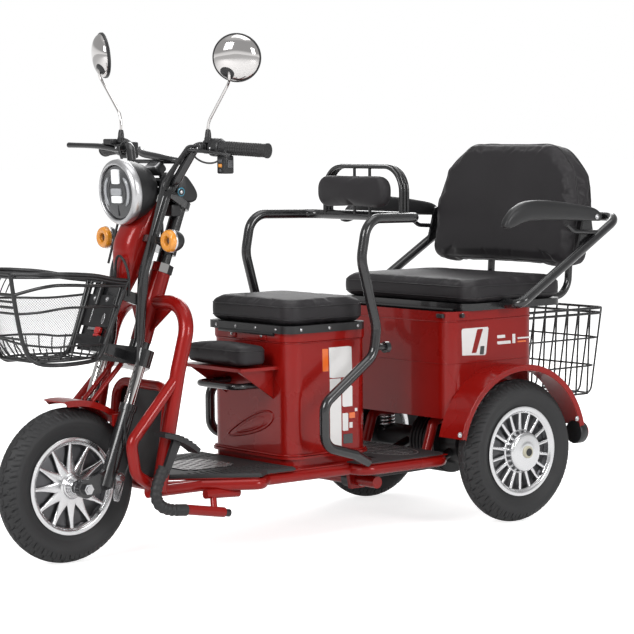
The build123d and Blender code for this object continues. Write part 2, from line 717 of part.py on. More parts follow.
# ------------------------------------------------------------------ main frame
RAIL_X = 120.0
FLOOR_TOP = FLOOR_Z + RIM_TUBE / 2
PAN_TOP = FLOOR_TOP + PAN_THICK
RAIL_HIGH = REAR_BOX_BOTTOM - RIM_TUBE / 2
FLOOR_HALF = REAR_BOX_WIDTH / 2 - RIM_TUBE / 2
PIVOT_AT = 790.0
PIVOT_Z = 130.0
SPLASH_AT = (198.0, 223.0)   # foot and top of the small hoop behind the fork
SPLASH_TOP = 404.0
with BuildPart() as main_frame:
    add(pipe(fork_spot(0, 0, HEAD_LOW), fork_spot(0, 0, HEAD_TOP), HEAD_TUBE_D))
    crossing = [
        across(
            [
                spot(96, 202, FLOOR_Z), spot(222, 408, FLOOR_Z),
                spot(178, 452, FLOOR_Z), spot(178, 712, FLOOR_Z),
            ],
            [30, 22, 30], RIM_TUBE - 0.4,
        ),
        across([spot(105, SPLASH_AT[1], SPLASH_TOP), spot(105, SPLASH_AT[0], FLOOR_Z)], [40], 24),
        ring(
            [
                spot(-FLOOR_HALF, 725, FLOOR_Z), spot(FLOOR_HALF, 725, FLOOR_Z),
                spot(FLOOR_HALF, 1006, FLOOR_Z), spot(-FLOOR_HALF, 1006, FLOOR_Z),
            ],
            [36, 36, 36, 36], RIM_TUBE,
        ),
        pipe(spot(191, 204, 125.5), spot(191, 318, 106.5), 24),
        pipe(spot(176, 275, 152), spot(176, 373, 147), 22),
        pipe(spot(191, 290, 112), spot(172, 300, 158), 16),
        pipe(spot(-178, 556, FLOOR_Z), spot(178, 556, FLOOR_Z), RIM_TUBE - 1),
        pipe(spot(-200, PIVOT_AT, PIVOT_Z), spot(200, PIVOT_AT, PIVOT_Z), 30),
        pipe(spot(-RAIL_X, REAR_BOX_REAR + 20, RAIL_HIGH), spot(RAIL_X, REAR_BOX_REAR + 20, RAIL_HIGH), 20),
    ]
    for piece in crossing:
        add(piece)
    one_side = [
        bar(
            [
                spot(0, 255, 598), spot(HOOP_HALF, 263, 603),
                spot(HOOP_HALF, 219, 445), spot(HOOP_HALF, 160, FLOOR_Z),
            ],
            [80, 120], FRAME_TUBE,
        ),
        bar(
            [
                spot(HOOP_HALF, 215, 431), spot(160, 76, 290),
                spot(160, 88, 215), spot(HOOP_HALF, 165, FLOOR_Z),
            ],
            [34, 34], GUARD_TUBE,
        ),
        bar(
            [
                spot(RAIL_X, 238, FLOOR_Z), spot(RAIL_X, 1022, FLOOR_Z), spot(RAIL_X, 1052, RAIL_HIGH),
                spot(RAIL_X, REAR_BOX_REAR + 90, RAIL_HIGH),
            ],
            [24, 24], RIM_TUBE - 0.6,
        ),
        pipe(spot(HOOP_HALF - 4, 130, FLOOR_Z), spot(HOOP_HALF - 4, 284, FLOOR_Z), GUARD_TUBE - 0.6),
    ]
    for piece in one_side:
        add(piece)
        mirror(piece, about=Plane.YZ)
    for side in (1, -1):
        with BuildSketch(side_plane(side * RAIL_X - 6)):
            Polygon(
                (back(PIVOT_AT - 34), FLOOR_Z), (back(PIVOT_AT + 34), FLOOR_Z),
                (back(PIVOT_AT + 22), PIVOT_Z - 22), (back(PIVOT_AT - 22), PIVOT_Z - 22), align=None,
            )
        extrude(amount=12)
        toward = Vector(side * HOOP_HALF, 8, 5)
        with BuildSketch(Plane(
            origin=spot(0, 255, 598), x_dir=toward, z_dir=toward.cross(Vector(0, -25, -70)),
        ).offset(-3)):
            Polygon((10, 4), (10, 84), (92, 4), align=None)
        extrude(amount=6)
    add(pipe(fork_spot(0, 0, HEAD_LOW - 5), fork_spot(0, 0, HEAD_TOP + 5), STEERER_D + 2 * RUNNING),
        mode=Mode.SUBTRACT)
main_frame.part.label = "main_frame"
export_step(main_frame.part, "parts/main_frame.step")

with BuildPart() as floor_pans:
    with BuildSketch(Plane.XY.offset(FLOOR_TOP)):
        Polygon(
            (0, back(212)), (90, back(212)), (214, back(408)), (182, back(446)), (182, back(722)),
            (FLOOR_HALF + 4, back(722)), (FLOOR_HALF + 4, back(1003)), (0, back(1003)), align=None,
        )
        mirror(about=Plane.YZ)
    extrude(amount=PAN_THICK)
floor_pans.part.label = "floor_pans"
export_step(floor_pans.part, "parts/floor_pans.step")

with BuildPart() as splash_plate:
    upward = Vector(0, SPLASH_AT[1] - SPLASH_AT[0], SPLASH_TOP - FLOOR_Z).normalized()
    rearward = Vector(0, upward.Z, -upward.Y)
    low = (PAN_TOP + NEAR_GAP + 1.5 - FLOOR_Z) / upward.Z
    high = (SPLASH_TOP - 2 - FLOOR_Z) / upward.Z
    with BuildSketch(Plane(
        origin=spot(0, SPLASH_AT[0], FLOOR_Z) + rearward * 12.05, x_dir=(1, 0, 0), z_dir=rearward,
    )):
        with Locations((0, -(low + high) / 2)):
            RectangleRounded(226, high - low, 24)
    extrude(amount=3)
splash_plate.part.label = "splash_plate"
export_step(splash_plate.part, "parts/splash_plate.step")

with BuildPart() as front_mat:
    with BuildSketch(Plane.XY.offset(PAN_TOP)):
        Polygon(
            (-90, back(222)), (90, back(222)), (222, back(410)), (190, back(450)), (190, back(538)),
            (-190, back(538)), (-190, back(450)), (-222, back(410)), align=None,
        )
        fillet(vertices(), 12)
    extrude(amount=FRONT_MAT_THICK)
front_mat.part.label = "front_mat"
export_step(front_mat.part, "parts/front_mat.step")

with BuildPart() as rear_mat:
    with BuildSketch(Plane.XY.offset(PAN_TOP)):
        with Locations((0, back(858))):
            RectangleRounded(2 * FLOOR_HALF + 20, 288, 34)
        with Locations((0, back(700))):
            Rectangle(FRONT_BOX_WIDTH + 24, 2 * (FRONT_BOX_REAR + 12 - 700), mode=Mode.SUBTRACT)
    extrude(amount=REAR_MAT_THICK)
rear_mat.part.label = "rear_mat"
export_step(rear_mat.part, "parts/rear_mat.step")

# ------------------------------------------------------------------ seat boxes
with BuildPart() as front_seat_box:
    box_middle = (0, back((FRONT_BOX_FRONT + FRONT_BOX_REAR) / 2))
    box_length = FRONT_BOX_REAR - FRONT_BOX_FRONT
    with BuildSketch(Plane.XY.offset(PAN_TOP)):
        with Locations(box_middle):
            RectangleRounded(FRONT_BOX_WIDTH, box_length, 40)
    extrude(amount=FRONT_BOX_TOP - PAN_TOP)
    flange = (FRONT_BOX_BOTTOM, FRONT_BOX_BOTTOM + 6, 10)
    band = (FRONT_BOX_TOP - 20, FRONT_BOX_TOP, 4)
    for low, high, extra in (flange, band):
        with BuildSketch(Plane.XY.offset(low)):
            with Locations(box_middle):
                RectangleRounded(FRONT_BOX_WIDTH + 2 * extra, box_length + 2 * extra, 40 + extra)
        extrude(amount=high - low)
    with BuildSketch(Plane.XY.offset(PAN_TOP + BOX_WALL)):
        with Locations(box_middle):
            RectangleRounded(FRONT_BOX_WIDTH - 2 * BOX_WALL, box_length - 2 * BOX_WALL, 40 - BOX_WALL)
    extrude(amount=FRONT_BOX_TOP, mode=Mode.SUBTRACT)
    with BuildSketch(Plane.XY.offset(424)):
        with Locations((0, back((428 + FRONT_BOX_FRONT) / 2 + 1))):
            Rectangle(236, FRONT_BOX_FRONT - 428 + 2)
    extrude(amount=8)
    for side in (1, -1):
        with BuildSketch(side_plane(side * 96 - 2)):
            Polygon(
                (back(436), 424), (back(FRONT_BOX_FRONT + 1), 424), (back(FRONT_BOX_FRONT + 1), 350),
                align=None,
            )
        extrude(amount=4)
front_seat_box.part.label = "front_seat_box"
export_step(front_seat_box.part, "parts/front_seat_box.step")

with BuildPart() as child_seat:
    add(rounded_block(240, (back(428), back(522)), (432 + CUSHION_GAP, 488), 26, 10))
child_seat.part.label = "child_seat"
export_step(child_seat.part, "parts/child_seat.step")

with BuildPart() as rear_box:
    box_middle = (0, back((REAR_BOX_FRONT + REAR_BOX_REAR) / 2))
    box_length = REAR_BOX_REAR - REAR_BOX_FRONT
    with BuildSketch(Plane.XY.offset(REAR_BOX_BOTTOM)):
        with Locations(box_middle):
            RectangleRounded(REAR_BOX_WIDTH, box_length, 40)
    extrude(amount=REAR_BOX_TOP - REAR_BOX_BOTTOM)
    with BuildSketch(Plane.XY.offset(REAR_BOX_TOP - 22)):
        with Locations(box_middle):
            RectangleRounded(REAR_BOX_WIDTH + 5, box_length, 42)
    extrude(amount=22)
    with BuildSketch(Plane.XY.offset(REAR_BOX_BOTTOM + BOX_WALL)):
        with Locations(box_middle):
            RectangleRounded(REAR_BOX_WIDTH - 2 * BOX_WALL, box_length - 2 * BOX_WALL, 40 - BOX_WALL)
    extrude(amount=REAR_BOX_TOP, mode=Mode.SUBTRACT)
rear_box.part.label = "rear_box"
export_step(rear_box.part, "parts/rear_box.step")

with BuildPart() as battery:
    with BuildSketch(Plane.XY.offset(REAR_BOX_BOTTOM + BOX_WALL)):
        with Locations((0, back(1150))):
            RectangleRounded(330, 200, 8)
    extrude(amount=160)
battery.part.label = "battery"
export_step(battery.part, "parts/battery.step")

# ------------------------------------------------------------------ driver's seat and what stands round it
DRIVER_HINGE = (FRONT_BOX_FRONT - 8.4, FRONT_BOX_TOP - 2)
with BuildPart() as driver_seat_pan:
    pan_low = FRONT_BOX_TOP + 0.4
    add(rounded_block(
        DRIVER_PAD_WIDTH - 14, (back(DRIVER_PAD_FRONT + 6), back(DRIVER_PAD_REAR - 6)),
        (pan_low, pan_low + SEAT_PAN), 34, 0,
    ))
    add(pipe(spot(-110, DRIVER_HINGE[0], DRIVER_HINGE[1]), spot(110, DRIVER_HINGE[0], DRIVER_HINGE[1]), 8))
driver_seat_pan.part.label = "driver_seat_pan"
export_step(driver_seat_pan.part, "parts/driver_seat_pan.step")
DRIVER_PAD_LOW = pan_low + SEAT_PAN + CUSHION_GAP
with BuildPart() as driver_cushion:
    add(rounded_block(
        DRIVER_PAD_WIDTH, (back(DRIVER_PAD_FRONT), back(DRIVER_PAD_REAR)),
        (DRIVER_PAD_LOW, DRIVER_PAD_LOW + DRIVER_PAD_THICK), 40, 18,
    ))
driver_cushion.part.label = "driver_cushion"
export_step(driver_cushion.part, "parts/driver_cushion.step")

ARM_X = ARMREST_HALF - 4
CROSS_AT = 928.0
CROSS_Z = 785.0
HOOP_STEP = 11.0
PAD_STRUT = 8.0
SMALL_PAD_THICK = 46.0
with BuildPart() as seat_tubes:
    add(across(
        [
            spot(206, CROSS_AT, CROSS_Z), spot(ARM_X, 736, CROSS_Z + 4), spot(ARM_X, 716, 690),
            spot(ARM_X, 764, 520), spot(ARM_X, 753, 452), spot(ARM_X, 596, 344), spot(ARM_X, 596, 240),
            spot(ARM_X, 692, 212), spot(ARM_X - 6, 738, PAN_TOP + 4),
        ],
        [40, 54, 80, 80, 50, 40, 40, 20], SIDE_TUBE,
    ))
    for step in (-1, 0, 1):
        at = CROSS_AT + step * HOOP_STEP
        add(across([spot(150, at, 912 - abs(step) * 2), spot(150, at, CROSS_Z)], [62], 10))
    add(across([spot(80, 440, 385), spot(80, FRONT_BOX_FRONT + 8, 385)], [28], 16))
    for side in (1, -1):
        rod_at = CROSS_AT - HOOP_STEP
        add(pipe(spot(side * 30, rod_at, 909), spot(side * 30, rod_at, CROSS_Z), PAD_STRUT))
        add(pipe(spot(side * ARM_X, 752, 474), spot(side * ARM_X, 792, 470), 16))
        add(pipe(spot(side * ARM_X, 788, 470), spot(side * ARM_X, 800, 470), 28))
    add(front_seat_box.part, mode=Mode.SUBTRACT)
    add(rear_mat.part, mode=Mode.SUBTRACT)
    add(floor_pans.part, mode=Mode.SUBTRACT)
    add(main_frame.part, mode=Mode.SUBTRACT)
seat_tubes.part.label = "seat_tubes"
export_step(seat_tubes.part, "parts/seat_tubes.step")

with BuildPart() as small_backrest:
    pad_back = CROSS_AT - HOOP_STEP - PAD_STRUT / 2 - CUSHION_GAP
    add(Pos(0, back(pad_back), 848) * Rot(90, 0, 0) * rounded_block(
        270, (-44, 44), (0, SMALL_PAD_THICK), 38, 14,
    ))
small_backrest.part.label = "small_backrest"
export_step(small_backrest.part, "parts/small_backrest.step")

# ------------------------------------------------------------------ brake pedal
PEDAL_X = 191.0
with BuildPart() as brake_pedal:
    with BuildSketch(side_plane(PEDAL_X - 22)):
        with BuildLine():
            ThreePointArc((back(135), 312), (back(188), 298), (back(237), 267))
            Line((back(237), 267), (back(232), 256))
            ThreePointArc((back(232), 256), (back(184), 287), (back(135), 302))
            Line((back(135), 302), (back(135), 312))
        make_face()
    extrude(amount=44)
    with BuildSketch(side_plane(PEDAL_X - 5)):
        Polygon(
            (back(172), 292), (back(196), 288), (back(152), 205), (back(134), 205), align=None,
        )
    extrude(amount=10)
    add(pipe(spot(PEDAL_X, 318.5, 106), spot(PEDAL_X, 334, 103), 18))
brake_pedal.part.label = "brake_pedal"
export_step(brake_pedal.part, "parts/brake_pedal.step")

with BuildPart() as pedal_boot:
    add(bar(
        [spot(PEDAL_X, 141, 222), spot(PEDAL_X, 118, 176), spot(PEDAL_X, 158, 129), spot(PEDAL_X, 207, 124)],
        [26, 24], 29,
    ))
    add(brake_pedal.part, mode=Mode.SUBTRACT)
    add(main_frame.part, mode=Mode.SUBTRACT)
pedal_boot.part.label = "pedal_boot"
export_step(pedal_boot.part, "parts/pedal_boot.step")

# ------------------------------------------------------------------ rear bench
BENCH_LOW = REAR_BOX_TOP + 0.4
BACK_FOOT = spot(0, 1385, 640)
back_plane = Plane(
    origin=BACK_FOOT, x_dir=(1, 0, 0),
    z_dir=(0, -cos(radians(BACK_PAD_LEAN)), sin(radians(BACK_PAD_LEAN))),
)
BENCH_X = 302.0
PAD_PIVOT = (1438.0, 774.0)
PAD_LOW_X = 295.5
PAD_HIGH_X = 335.0
with BuildPart() as rear_seat_frame:
    add(rounded_block(
        REAR_PAD_WIDTH - 36, (back(REAR_PAD_FRONT + 14), back(REAR_PAD_REAR - 10)),
        (BENCH_LOW, BENCH_LOW + SEAT_PAN - 1), 38, 0,
    ))
    add(pipe(
        spot(0, REAR_PAD_FRONT + 14, BENCH_LOW), spot(200, REAR_PAD_FRONT + 14, BENCH_LOW), 10,
    ))
    add(bar(
        [
            spot(200, 1182, 557.4), spot(BENCH_X, 1186, 558),
            spot(BENCH_X, 1254, 598), spot(BENCH_X, 1481, 732),
            spot(BENCH_X, 1546, 770), spot(0, 1546, 770),
        ],
        [22, 40, 60, 40], SIDE_TUBE,
    ))
    add(bar(
        [spot(BENCH_X, 1478, 731), spot(BENCH_X, 1378, 737), spot(BENCH_X, 1352, 756)], [30], 12,
    ))
    add(bar(
        [spot(150, 1370, 554), spot(150, 1508, 558), spot(150, 1524, 800)], [50], 20,
    ))
    with BuildSketch(side_plane(PAD_LOW_X - 7.5)):
        with BuildLine():
            Polyline(
                (back(1460), 716),
                (back(PAD_PIVOT[0] + 12), PAD_PIVOT[1] + 2),
                (back(PAD_PIVOT[0] - 12), PAD_PIVOT[1] + 2),
                (back(1400), 684), close=True,
            )
        make_face()
        with Locations((back(PAD_PIVOT[0]), PAD_PIVOT[1])):
            Circle(12)
    extrude(amount=7)
    with BuildSketch(side_plane(PAD_LOW_X - 7.5)):
        with Locations((back(PAD_PIVOT[0]), PAD_PIVOT[1])):
            Circle(5)
    extrude(amount=36)
    with BuildSketch(back_plane.offset(-BACK_PAD_THICK - CUSHION_GAP)):
        with Locations((0, 150)):
            Rectangle(400, 200)
    extrude(amount=-8)
    with BuildSketch(side_plane(143)):
        Polygon(
            (back(1480), 700), (back(1480), 800), (back(1546), 782), (back(1530), 700), align=None,
        )
    extrude(amount=14)
    mirror(about=Plane.YZ)
    with BuildSketch(back_plane.offset(-BACK_PAD_THICK - CUSHION_GAP)):
        with Locations((0, 150)):
            Rectangle(500, 300)
    extrude(amount=60, mode=Mode.SUBTRACT)
rear_seat_frame.part.label = "rear_seat_frame"
export_step(rear_seat_frame.part, "parts/rear_seat_frame.step")

BENCH_PAD_LOW = BENCH_LOW + SEAT_PAN - 1 + CUSHION_GAP
with BuildPart() as rear_cushion:
    add(rounded_block(
        REAR_PAD_WIDTH, (back(REAR_PAD_FRONT), back(REAR_PAD_REAR)),
        (BENCH_PAD_LOW, BENCH_PAD_LOW + REAR_PAD_THICK), 46, 20,
    ))
    add(rear_seat_frame.part, mode=Mode.SUBTRACT)
rear_cushion.part.label = "rear_cushion"
export_step(rear_cushion.part, "parts/rear_cushion.step")

with BuildPart() as rear_backrest:
    with BuildSketch(back_plane):
        Polygon(
            (-256, 0), (256, 0), (279, 26), (288, 165), (262, 262), (170, 345), (-170, 345), (-262, 262),
            (-288, 165), (-279, 26), align=None,
        )
        fillet(vertices(), 18)
    extrude(amount=-BACK_PAD_THICK)
    fillet(rear_backrest.faces().sort_by(Axis((0, 0, 0), back_plane.z_dir))[-1].edges(), 20)
rear_backrest.part.label = "rear_backrest"
export_step(rear_backrest.part, "parts/rear_backrest.step")

for side, label in ((1, "left"), (-1, "right")):
    with BuildPart() as armrest_pad:
        with BuildSketch(side_plane(PAD_LOW_X if side > 0 else -PAD_HIGH_X)):
            Polygon(
                (back(1114), 766), (back(1148), 806), (back(1196), 826), (back(1300), 820), (back(1432), 800),
                (back(1456), 782), (back(1450), 760), (back(1300), 768), (back(1190), 768), (back(1140), 758),
                align=None,
            )
            fillet(vertices(), 9)
        extrude(amount=PAD_HIGH_X - PAD_LOW_X)
        fillet(armrest_pad.faces().filter_by(Axis.X).edges(), 7)
        with BuildSketch(side_plane(-PAD_HIGH_X - 5)):
            with Locations((back(PAD_PIVOT[0]), PAD_PIVOT[1])):
                Circle(5 + RUNNING)
        extrude(amount=2 * PAD_HIGH_X + 10, mode=Mode.SUBTRACT)
    armrest_pad.part.label = f"{label}_armrest_pad"
    export_step(armrest_pad.part, f"parts/{label}_armrest_pad.step")

# ------------------------------------------------------------------ fenders, lamps, rear basket
FENDER_R = 220.0
FENDER_END = 232.0
FENDER_OUT = 323.0
with BuildPart() as rear_fenders:
    for inner, x_low in ((FENDER_R - 2.5, REAR_BOX_WIDTH / 2), (FENDER_R - 12, FENDER_OUT - 2.5)):
        with BuildSketch(side_plane(x_low)):
            with Locations((REAR_AXLE, AXLE_Z)):
                Circle(FENDER_R)
                Circle(inner, mode=Mode.SUBTRACT)
            with Locations((REAR_AXLE, FENDER_END - 300)):
                Rectangle(600, 600, mode=Mode.SUBTRACT)
        extrude(amount=FENDER_OUT - x_low)
    mirror(about=Plane.YZ)
rear_fenders.part.label = "rear_fenders"
export_step(rear_fenders.part, "parts/rear_fenders.step")

with BuildPart() as tail_lamps:
    for side in (1, -1):
        with BuildSketch(Plane(origin=spot(side * 292, 1387, 212), z_dir=(0, 1, 0))):
            Circle(30)
        extrude(amount=26)
        with BuildSketch(Plane(origin=spot(side * 292, 1413, 212), z_dir=(0, 1, 0))):
            Circle(26)
        extrude(amount=12, taper=12)
    add(rear_fenders.part, mode=Mode.SUBTRACT)
tail_lamps.part.label = "tail_lamps"
export_step(tail_lamps.part, "parts/tail_lamps.step")

REAR_WIRE = 5.0
with BuildPart() as rear_basket:
    first = REAR_BOX_REAR + REAR_WIRE / 2
    last = BASKET_REAR - REAR_WIRE / 2 - 4
    for step in range(9):
        x = (step - 4) * 42
        add(bar(
            [spot(x, first, 520), spot(x, first, 290), spot(x, 1578, 290), spot(x, last, 520)],
            [24, 24], REAR_WIRE,
        ))
    for height, share in ((520, 1.0), (506, 0.94), (440, 0.65), (365, 0.33), (290, 0.0)):
        end = 1578 + (last - 1578) * share
        half = 172 + 8 * share
        add(ring(
            [
                spot(-half, first, height), spot(half, first, height),
                spot(half, end, height), spot(-half, end, height),
            ],
            [14, 14, 26, 26], REAR_WIRE + 2 if height > 500 else REAR_WIRE,
        ))
    for step in range(6):
        at = 1350 + step * 42
        for side in (1, -1):
            add(pipe(spot(side * 172, at, 290), spot(side * 180, at + 4, 520), REAR_WIRE))
    add(rear_box.part, mode=Mode.SUBTRACT)
    add(main_frame.part, mode=Mode.SUBTRACT)
rear_basket.part.label = "rear_basket"
export_step(rear_basket.part, "parts/rear_basket.step")

# ------------------------------------------------------------------ rear axle
with BuildPart() as rear_axle:
    with BuildSketch(side_plane(-222)):
        with Locations((REAR_AXLE, AXLE_Z)):
            Circle(28)
    extrude(amount=444)
    with BuildSketch(side_plane(-REAR_HALF - 56)):
        with Locations((REAR_AXLE, AXLE_Z)):
            Circle(REAR_SHAFT_D / 2)
    extrude(amount=2 * REAR_HALF + 112)
    with BuildSketch(side_plane(-34)):
        with Locations((REAR_AXLE, AXLE_Z)):
            Circle(78)
    extrude(amount=96)
    with BuildSketch(side_plane(62)):
        with Locations((REAR_AXLE, AXLE_Z)):
            Circle(56)
    extrude(amount=60)
    for side in (1, -1):
        with BuildSketch(side_plane(side * 222)):
            with Locations((REAR_AXLE, AXLE_Z)):
                Circle(68)
        extrude(amount=side * 18)
        add(bar(
            [
                spot(side * 98, PIVOT_AT, PIVOT_Z + 4),
                spot(side * 98, 1060, 139),
                spot(side * 98, 1180, AXLE_Z),
            ],
            [120], 24,
        ))
        with BuildSketch(side_plane(side * 98 - 14)):
            with Locations((back(PIVOT_AT), PIVOT_Z)):
                Circle(22)
        extrude(amount=28)
    add(main_frame.part, mode=Mode.SUBTRACT)
rear_axle.part.label = "rear_axle"
export_step(rear_axle.part, "parts/rear_axle.step")

with BuildPart() as shocks:
    for side in (1, -1):
        for number in range(5):
            with BuildSketch(Plane(origin=spot(side * 200, 1168, 200 + 12.6 * number))):
                Circle(24)
            extrude(amount=7)
        with BuildSketch(Plane(origin=spot(side * 200, 1168, 190))):
            Circle(16)
        extrude(amount=REAR_BOX_BOTTOM - 190)
    add(rear_axle.part, mode=Mode.SUBTRACT)
shocks.part.label = "shocks"
export_step(shocks.part, "parts/shocks.step")
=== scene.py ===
from math import cos, pi, radians, sin

import bmesh
import bpy
import numpy as np
from mathutils import Matrix, Vector
from mathutils.bvhtree import BVHTree


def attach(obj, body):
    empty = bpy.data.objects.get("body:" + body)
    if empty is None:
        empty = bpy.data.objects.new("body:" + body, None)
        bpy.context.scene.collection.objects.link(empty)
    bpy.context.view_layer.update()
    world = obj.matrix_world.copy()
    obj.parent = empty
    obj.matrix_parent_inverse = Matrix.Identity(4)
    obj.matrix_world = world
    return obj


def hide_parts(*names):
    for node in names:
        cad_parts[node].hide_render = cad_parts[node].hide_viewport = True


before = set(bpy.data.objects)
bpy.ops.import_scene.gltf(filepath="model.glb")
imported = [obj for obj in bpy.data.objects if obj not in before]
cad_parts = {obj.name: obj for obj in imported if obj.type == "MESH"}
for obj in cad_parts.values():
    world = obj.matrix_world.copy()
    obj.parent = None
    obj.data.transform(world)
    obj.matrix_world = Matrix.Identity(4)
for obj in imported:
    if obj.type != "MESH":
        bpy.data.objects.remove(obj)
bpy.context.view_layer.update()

bl_info = {
    "name": "Passenger tricycle",
    "version": (1, 0, 0),
    "blender": (4, 5, 0),
    "location": "View3D > Sidebar > Tricycle",
    "description": "Dresses the tricycle's frame: tyres, rims, seats, lamps, mats, baskets and paint",
    "category": "Object",
}

AXLE_Z = 183.0       # millimetres, like every length below
REAR_AXLE = 1180.0   # behind the front axle
HALF_TRACK = 284.0   # a rear wheel's middle, out to its side
ROW_Y = -724.0       # the front axle's y in the row frame
LEAN = radians(20.5)  # rake of the steering axis


# ------------------------------------------------------------------ settings
def tint(name, description, default):
    """A colour setting."""
    return bpy.props.FloatVectorProperty(
        name=name, description=description, default=default, subtype="COLOR", size=3, min=0.0, max=1.0,
    )


def amount(name, description, default, least, most):
    """A setting with a range."""
    return bpy.props.FloatProperty(
        name=name, description=description, default=default, min=least, max=most,
    )


def tally(name, description, default, least, most):
    """A setting that counts."""
    return bpy.props.IntProperty(name=name, description=description, default=default, min=least, max=most)


class PaintSettings(bpy.types.PropertyGroup):
    """Colours of the finishes."""

    red: tint("Red", "Body paint", (0.27, 0.006, 0.004))
    black: tint("Black", "Paint on the tubes", (0.010, 0.010, 0.011))
    leather: tint("Leather", "Seats", (0.024, 0.022, 0.024))
    rubber: tint("Rubber", "Tyres and mats", (0.018, 0.018, 0.019))
    alloy: tint("Alloy", "Cast rims", (0.72, 0.72, 0.73))
    amber: tint("Amber", "Turn signals", (0.86, 0.30, 0.02))
    accent: tint("Accent", "Orange stickers", (0.86, 0.16, 0.02))


class WheelSettings(bpy.types.PropertyGroup):
    """Tyres and rims."""

    tread_depth: amount("Tread depth", "Depth of the grooves, in millimetres", 3.2, 0.5, 6.0)
    tread_pitches: tally("Tread pitches", "Blocks round the tyre", 40, 12, 80)
    front_spokes: tally("Front spokes", "Spokes of the front rim", 12, 3, 24)
    rear_spokes: tally("Rear spokes", "Spokes of a rear rim", 18, 3, 30)


class SeatSettings(bpy.types.PropertyGroup):
    """Cushions."""

    pressure: amount("Pressure", "Air pressure that fills a cushion", 4.0, 0.5, 12.0)
    swell: amount("Swell", "Most that a cushion's skin moves, in millimetres", 9.0, 1.0, 30.0)
    piping: amount("Piping", "Radius of the seams' piping, in millimetres", 1.5, 0.5, 4.0)


class WireSettings(bpy.types.PropertyGroup):
    """Front basket's lining."""

    pitch: amount("Mesh pitch", "Distance between the mesh's strands, in millimetres", 4.6, 3.0, 30.0)
    strand: amount("Strand", "Width of a strand, in millimetres", 0.9, 0.4, 4.0)


class StageSettings(bpy.types.PropertyGroup):
    """Camera and light."""

    camera: bpy.props.FloatVectorProperty(
        name="Camera", description="Where the camera stands", default=(4.73336, -3.82795, 1.02838),
        subtype="XYZ", unit="LENGTH", size=3,
    )
    lens: amount("Lens", "Focal length, in millimetres", 137.6, 20.0, 400.0)
    fill: amount("Fill", "Light from all round", 0.45, 0.0, 2.0)


# ------------------------------------------------------------------ surfaces
def sheet(rows, around=False, along=False):
    """Corner points rows[i, j] and the four-sided faces between neighbours; around joins the last
    column to the first, along joins the last row to the first."""
    n, m = rows.shape[:2]
    index = np.arange(n * m).reshape(n, m)
    if around:
        index = np.concatenate([index, index[:, :1]], 1)
    if along:
        index = np.concatenate([index, index[:1]], 0)
    faces = np.stack([index[:-1, :-1], index[1:, :-1], index[1:, 1:], index[:-1, 1:]], -1)
    return rows.reshape(-1, 3), faces.reshape(-1, 4)


def closed(rows, along=False):
    """A sheet closed round its columns, its first and last rows drawn together at their middles."""
    if along:
        return sheet(rows, True, True)
    first = np.broadcast_to(rows[0].mean(0), rows[0].shape)
    last = np.broadcast_to(rows[-1].mean(0), rows[-1].shape)
    return sheet(np.concatenate([first[None], rows, last[None]], 0), True)


def softened(points, times=3, loop=False):
    """A path with its corners cut: each round puts points a quarter and three quarters along each
    run, and keeps the two ends unless it is a loop."""
    path = np.asarray(points, float)
    for _ in range(times):
        nxt = np.roll(path, -1, 0) if loop else path[1:]
        now = path if loop else path[:-1]
        cut = np.stack([now * 0.75 + nxt * 0.25, now * 0.25 + nxt * 0.75], 1).reshape(-1, path.shape[1])
        path = cut if loop else np.concatenate([path[:1], cut, path[-1:]], 0)
    return path


def evenly(points, count, loop=False):
    """The path read again at equal steps of its length."""
    path = np.asarray(points, float)
    if loop:
        path = np.concatenate([path, path[:1]], 0)
    run = np.concatenate([[0], np.cumsum(np.linalg.norm(np.diff(path, axis=0), axis=1))])
    at = np.linspace(0, run[-1], count, endpoint=not loop)
    return np.stack([np.interp(at, run, path[:, k]) for k in range(path.shape[1])], -1)


def unit(vectors):
    """Vectors brought to length one."""
    vectors = np.asarray(vectors, float)
    return vectors / np.linalg.norm(vectors, axis=-1, keepdims=True)


def turns(count):
    """Angles at equal steps round a circle."""
    return np.linspace(0, 2 * pi, count, endpoint=False)


def squared(wave, power):
    """A sine or cosine bent towards a square wave, which makes a circle a rounded box."""
    return np.sign(wave) * np.abs(wave) ** power


def raised(flat, level):
    """A plane outline given a third coordinate."""
    return np.concatenate([flat, np.full((len(flat), 1), level)], 1)


def clipped(corners, share):
    """An outline with each corner cut off at that share of its two sides."""
    corners = np.asarray(corners, float)
    cut = [corners * (1 - share) + np.roll(corners, step, 0) * share for step in (1, -1)]
    return np.stack(cut, 1).reshape(-1, 2)


def tube(points, radius, sides=12, up=(0, 0, 1), loop=False):
    """A round bar along a path: at each point a circle lies square to the path, started from the
    direction nearest to up."""
    path = np.asarray(points, float)
    run = unit(np.roll(path, -1, 0) - np.roll(path, 1, 0) if loop else np.gradient(path, axis=0))
    side = np.cross(run, np.asarray(up, float))
    side = side / np.maximum(np.linalg.norm(side, axis=1, keepdims=True), 1e-6)
    top = np.cross(side, run)
    turn = turns(sides)[None, :, None]
    radius = np.broadcast_to(np.asarray(radius, float), (len(path),))[:, None, None]
    return closed(path[:, None] + radius * (np.cos(turn) * side[:, None] + np.sin(turn) * top[:, None]), loop)


def cord(points, count, radius, sides=12, up=(1, 0, 0), times=3):
    """A round bar along a path whose corners are softened that many times."""
    return tube(evenly(softened(points, times), count), radius, sides, up)


def spun(profile, middle, axis, sides=64, loop=False):
    """A turned shape: the profile's (distance along the axis, radius) pairs carried round the axis."""
    profile = np.asarray(profile, float)
    axis = unit(axis)
    side = unit(np.cross(axis, (0, 0, 1) if abs(axis[2]) < 0.9 else (0, 1, 0)))
    turn = turns(sides)[:, None]
    ray = np.cos(turn) * side + np.sin(turn) * np.cross(side, axis)
    return closed(np.asarray(middle, float) + profile[:, :1, None] * axis + profile[:, 1:, None] * ray, loop)


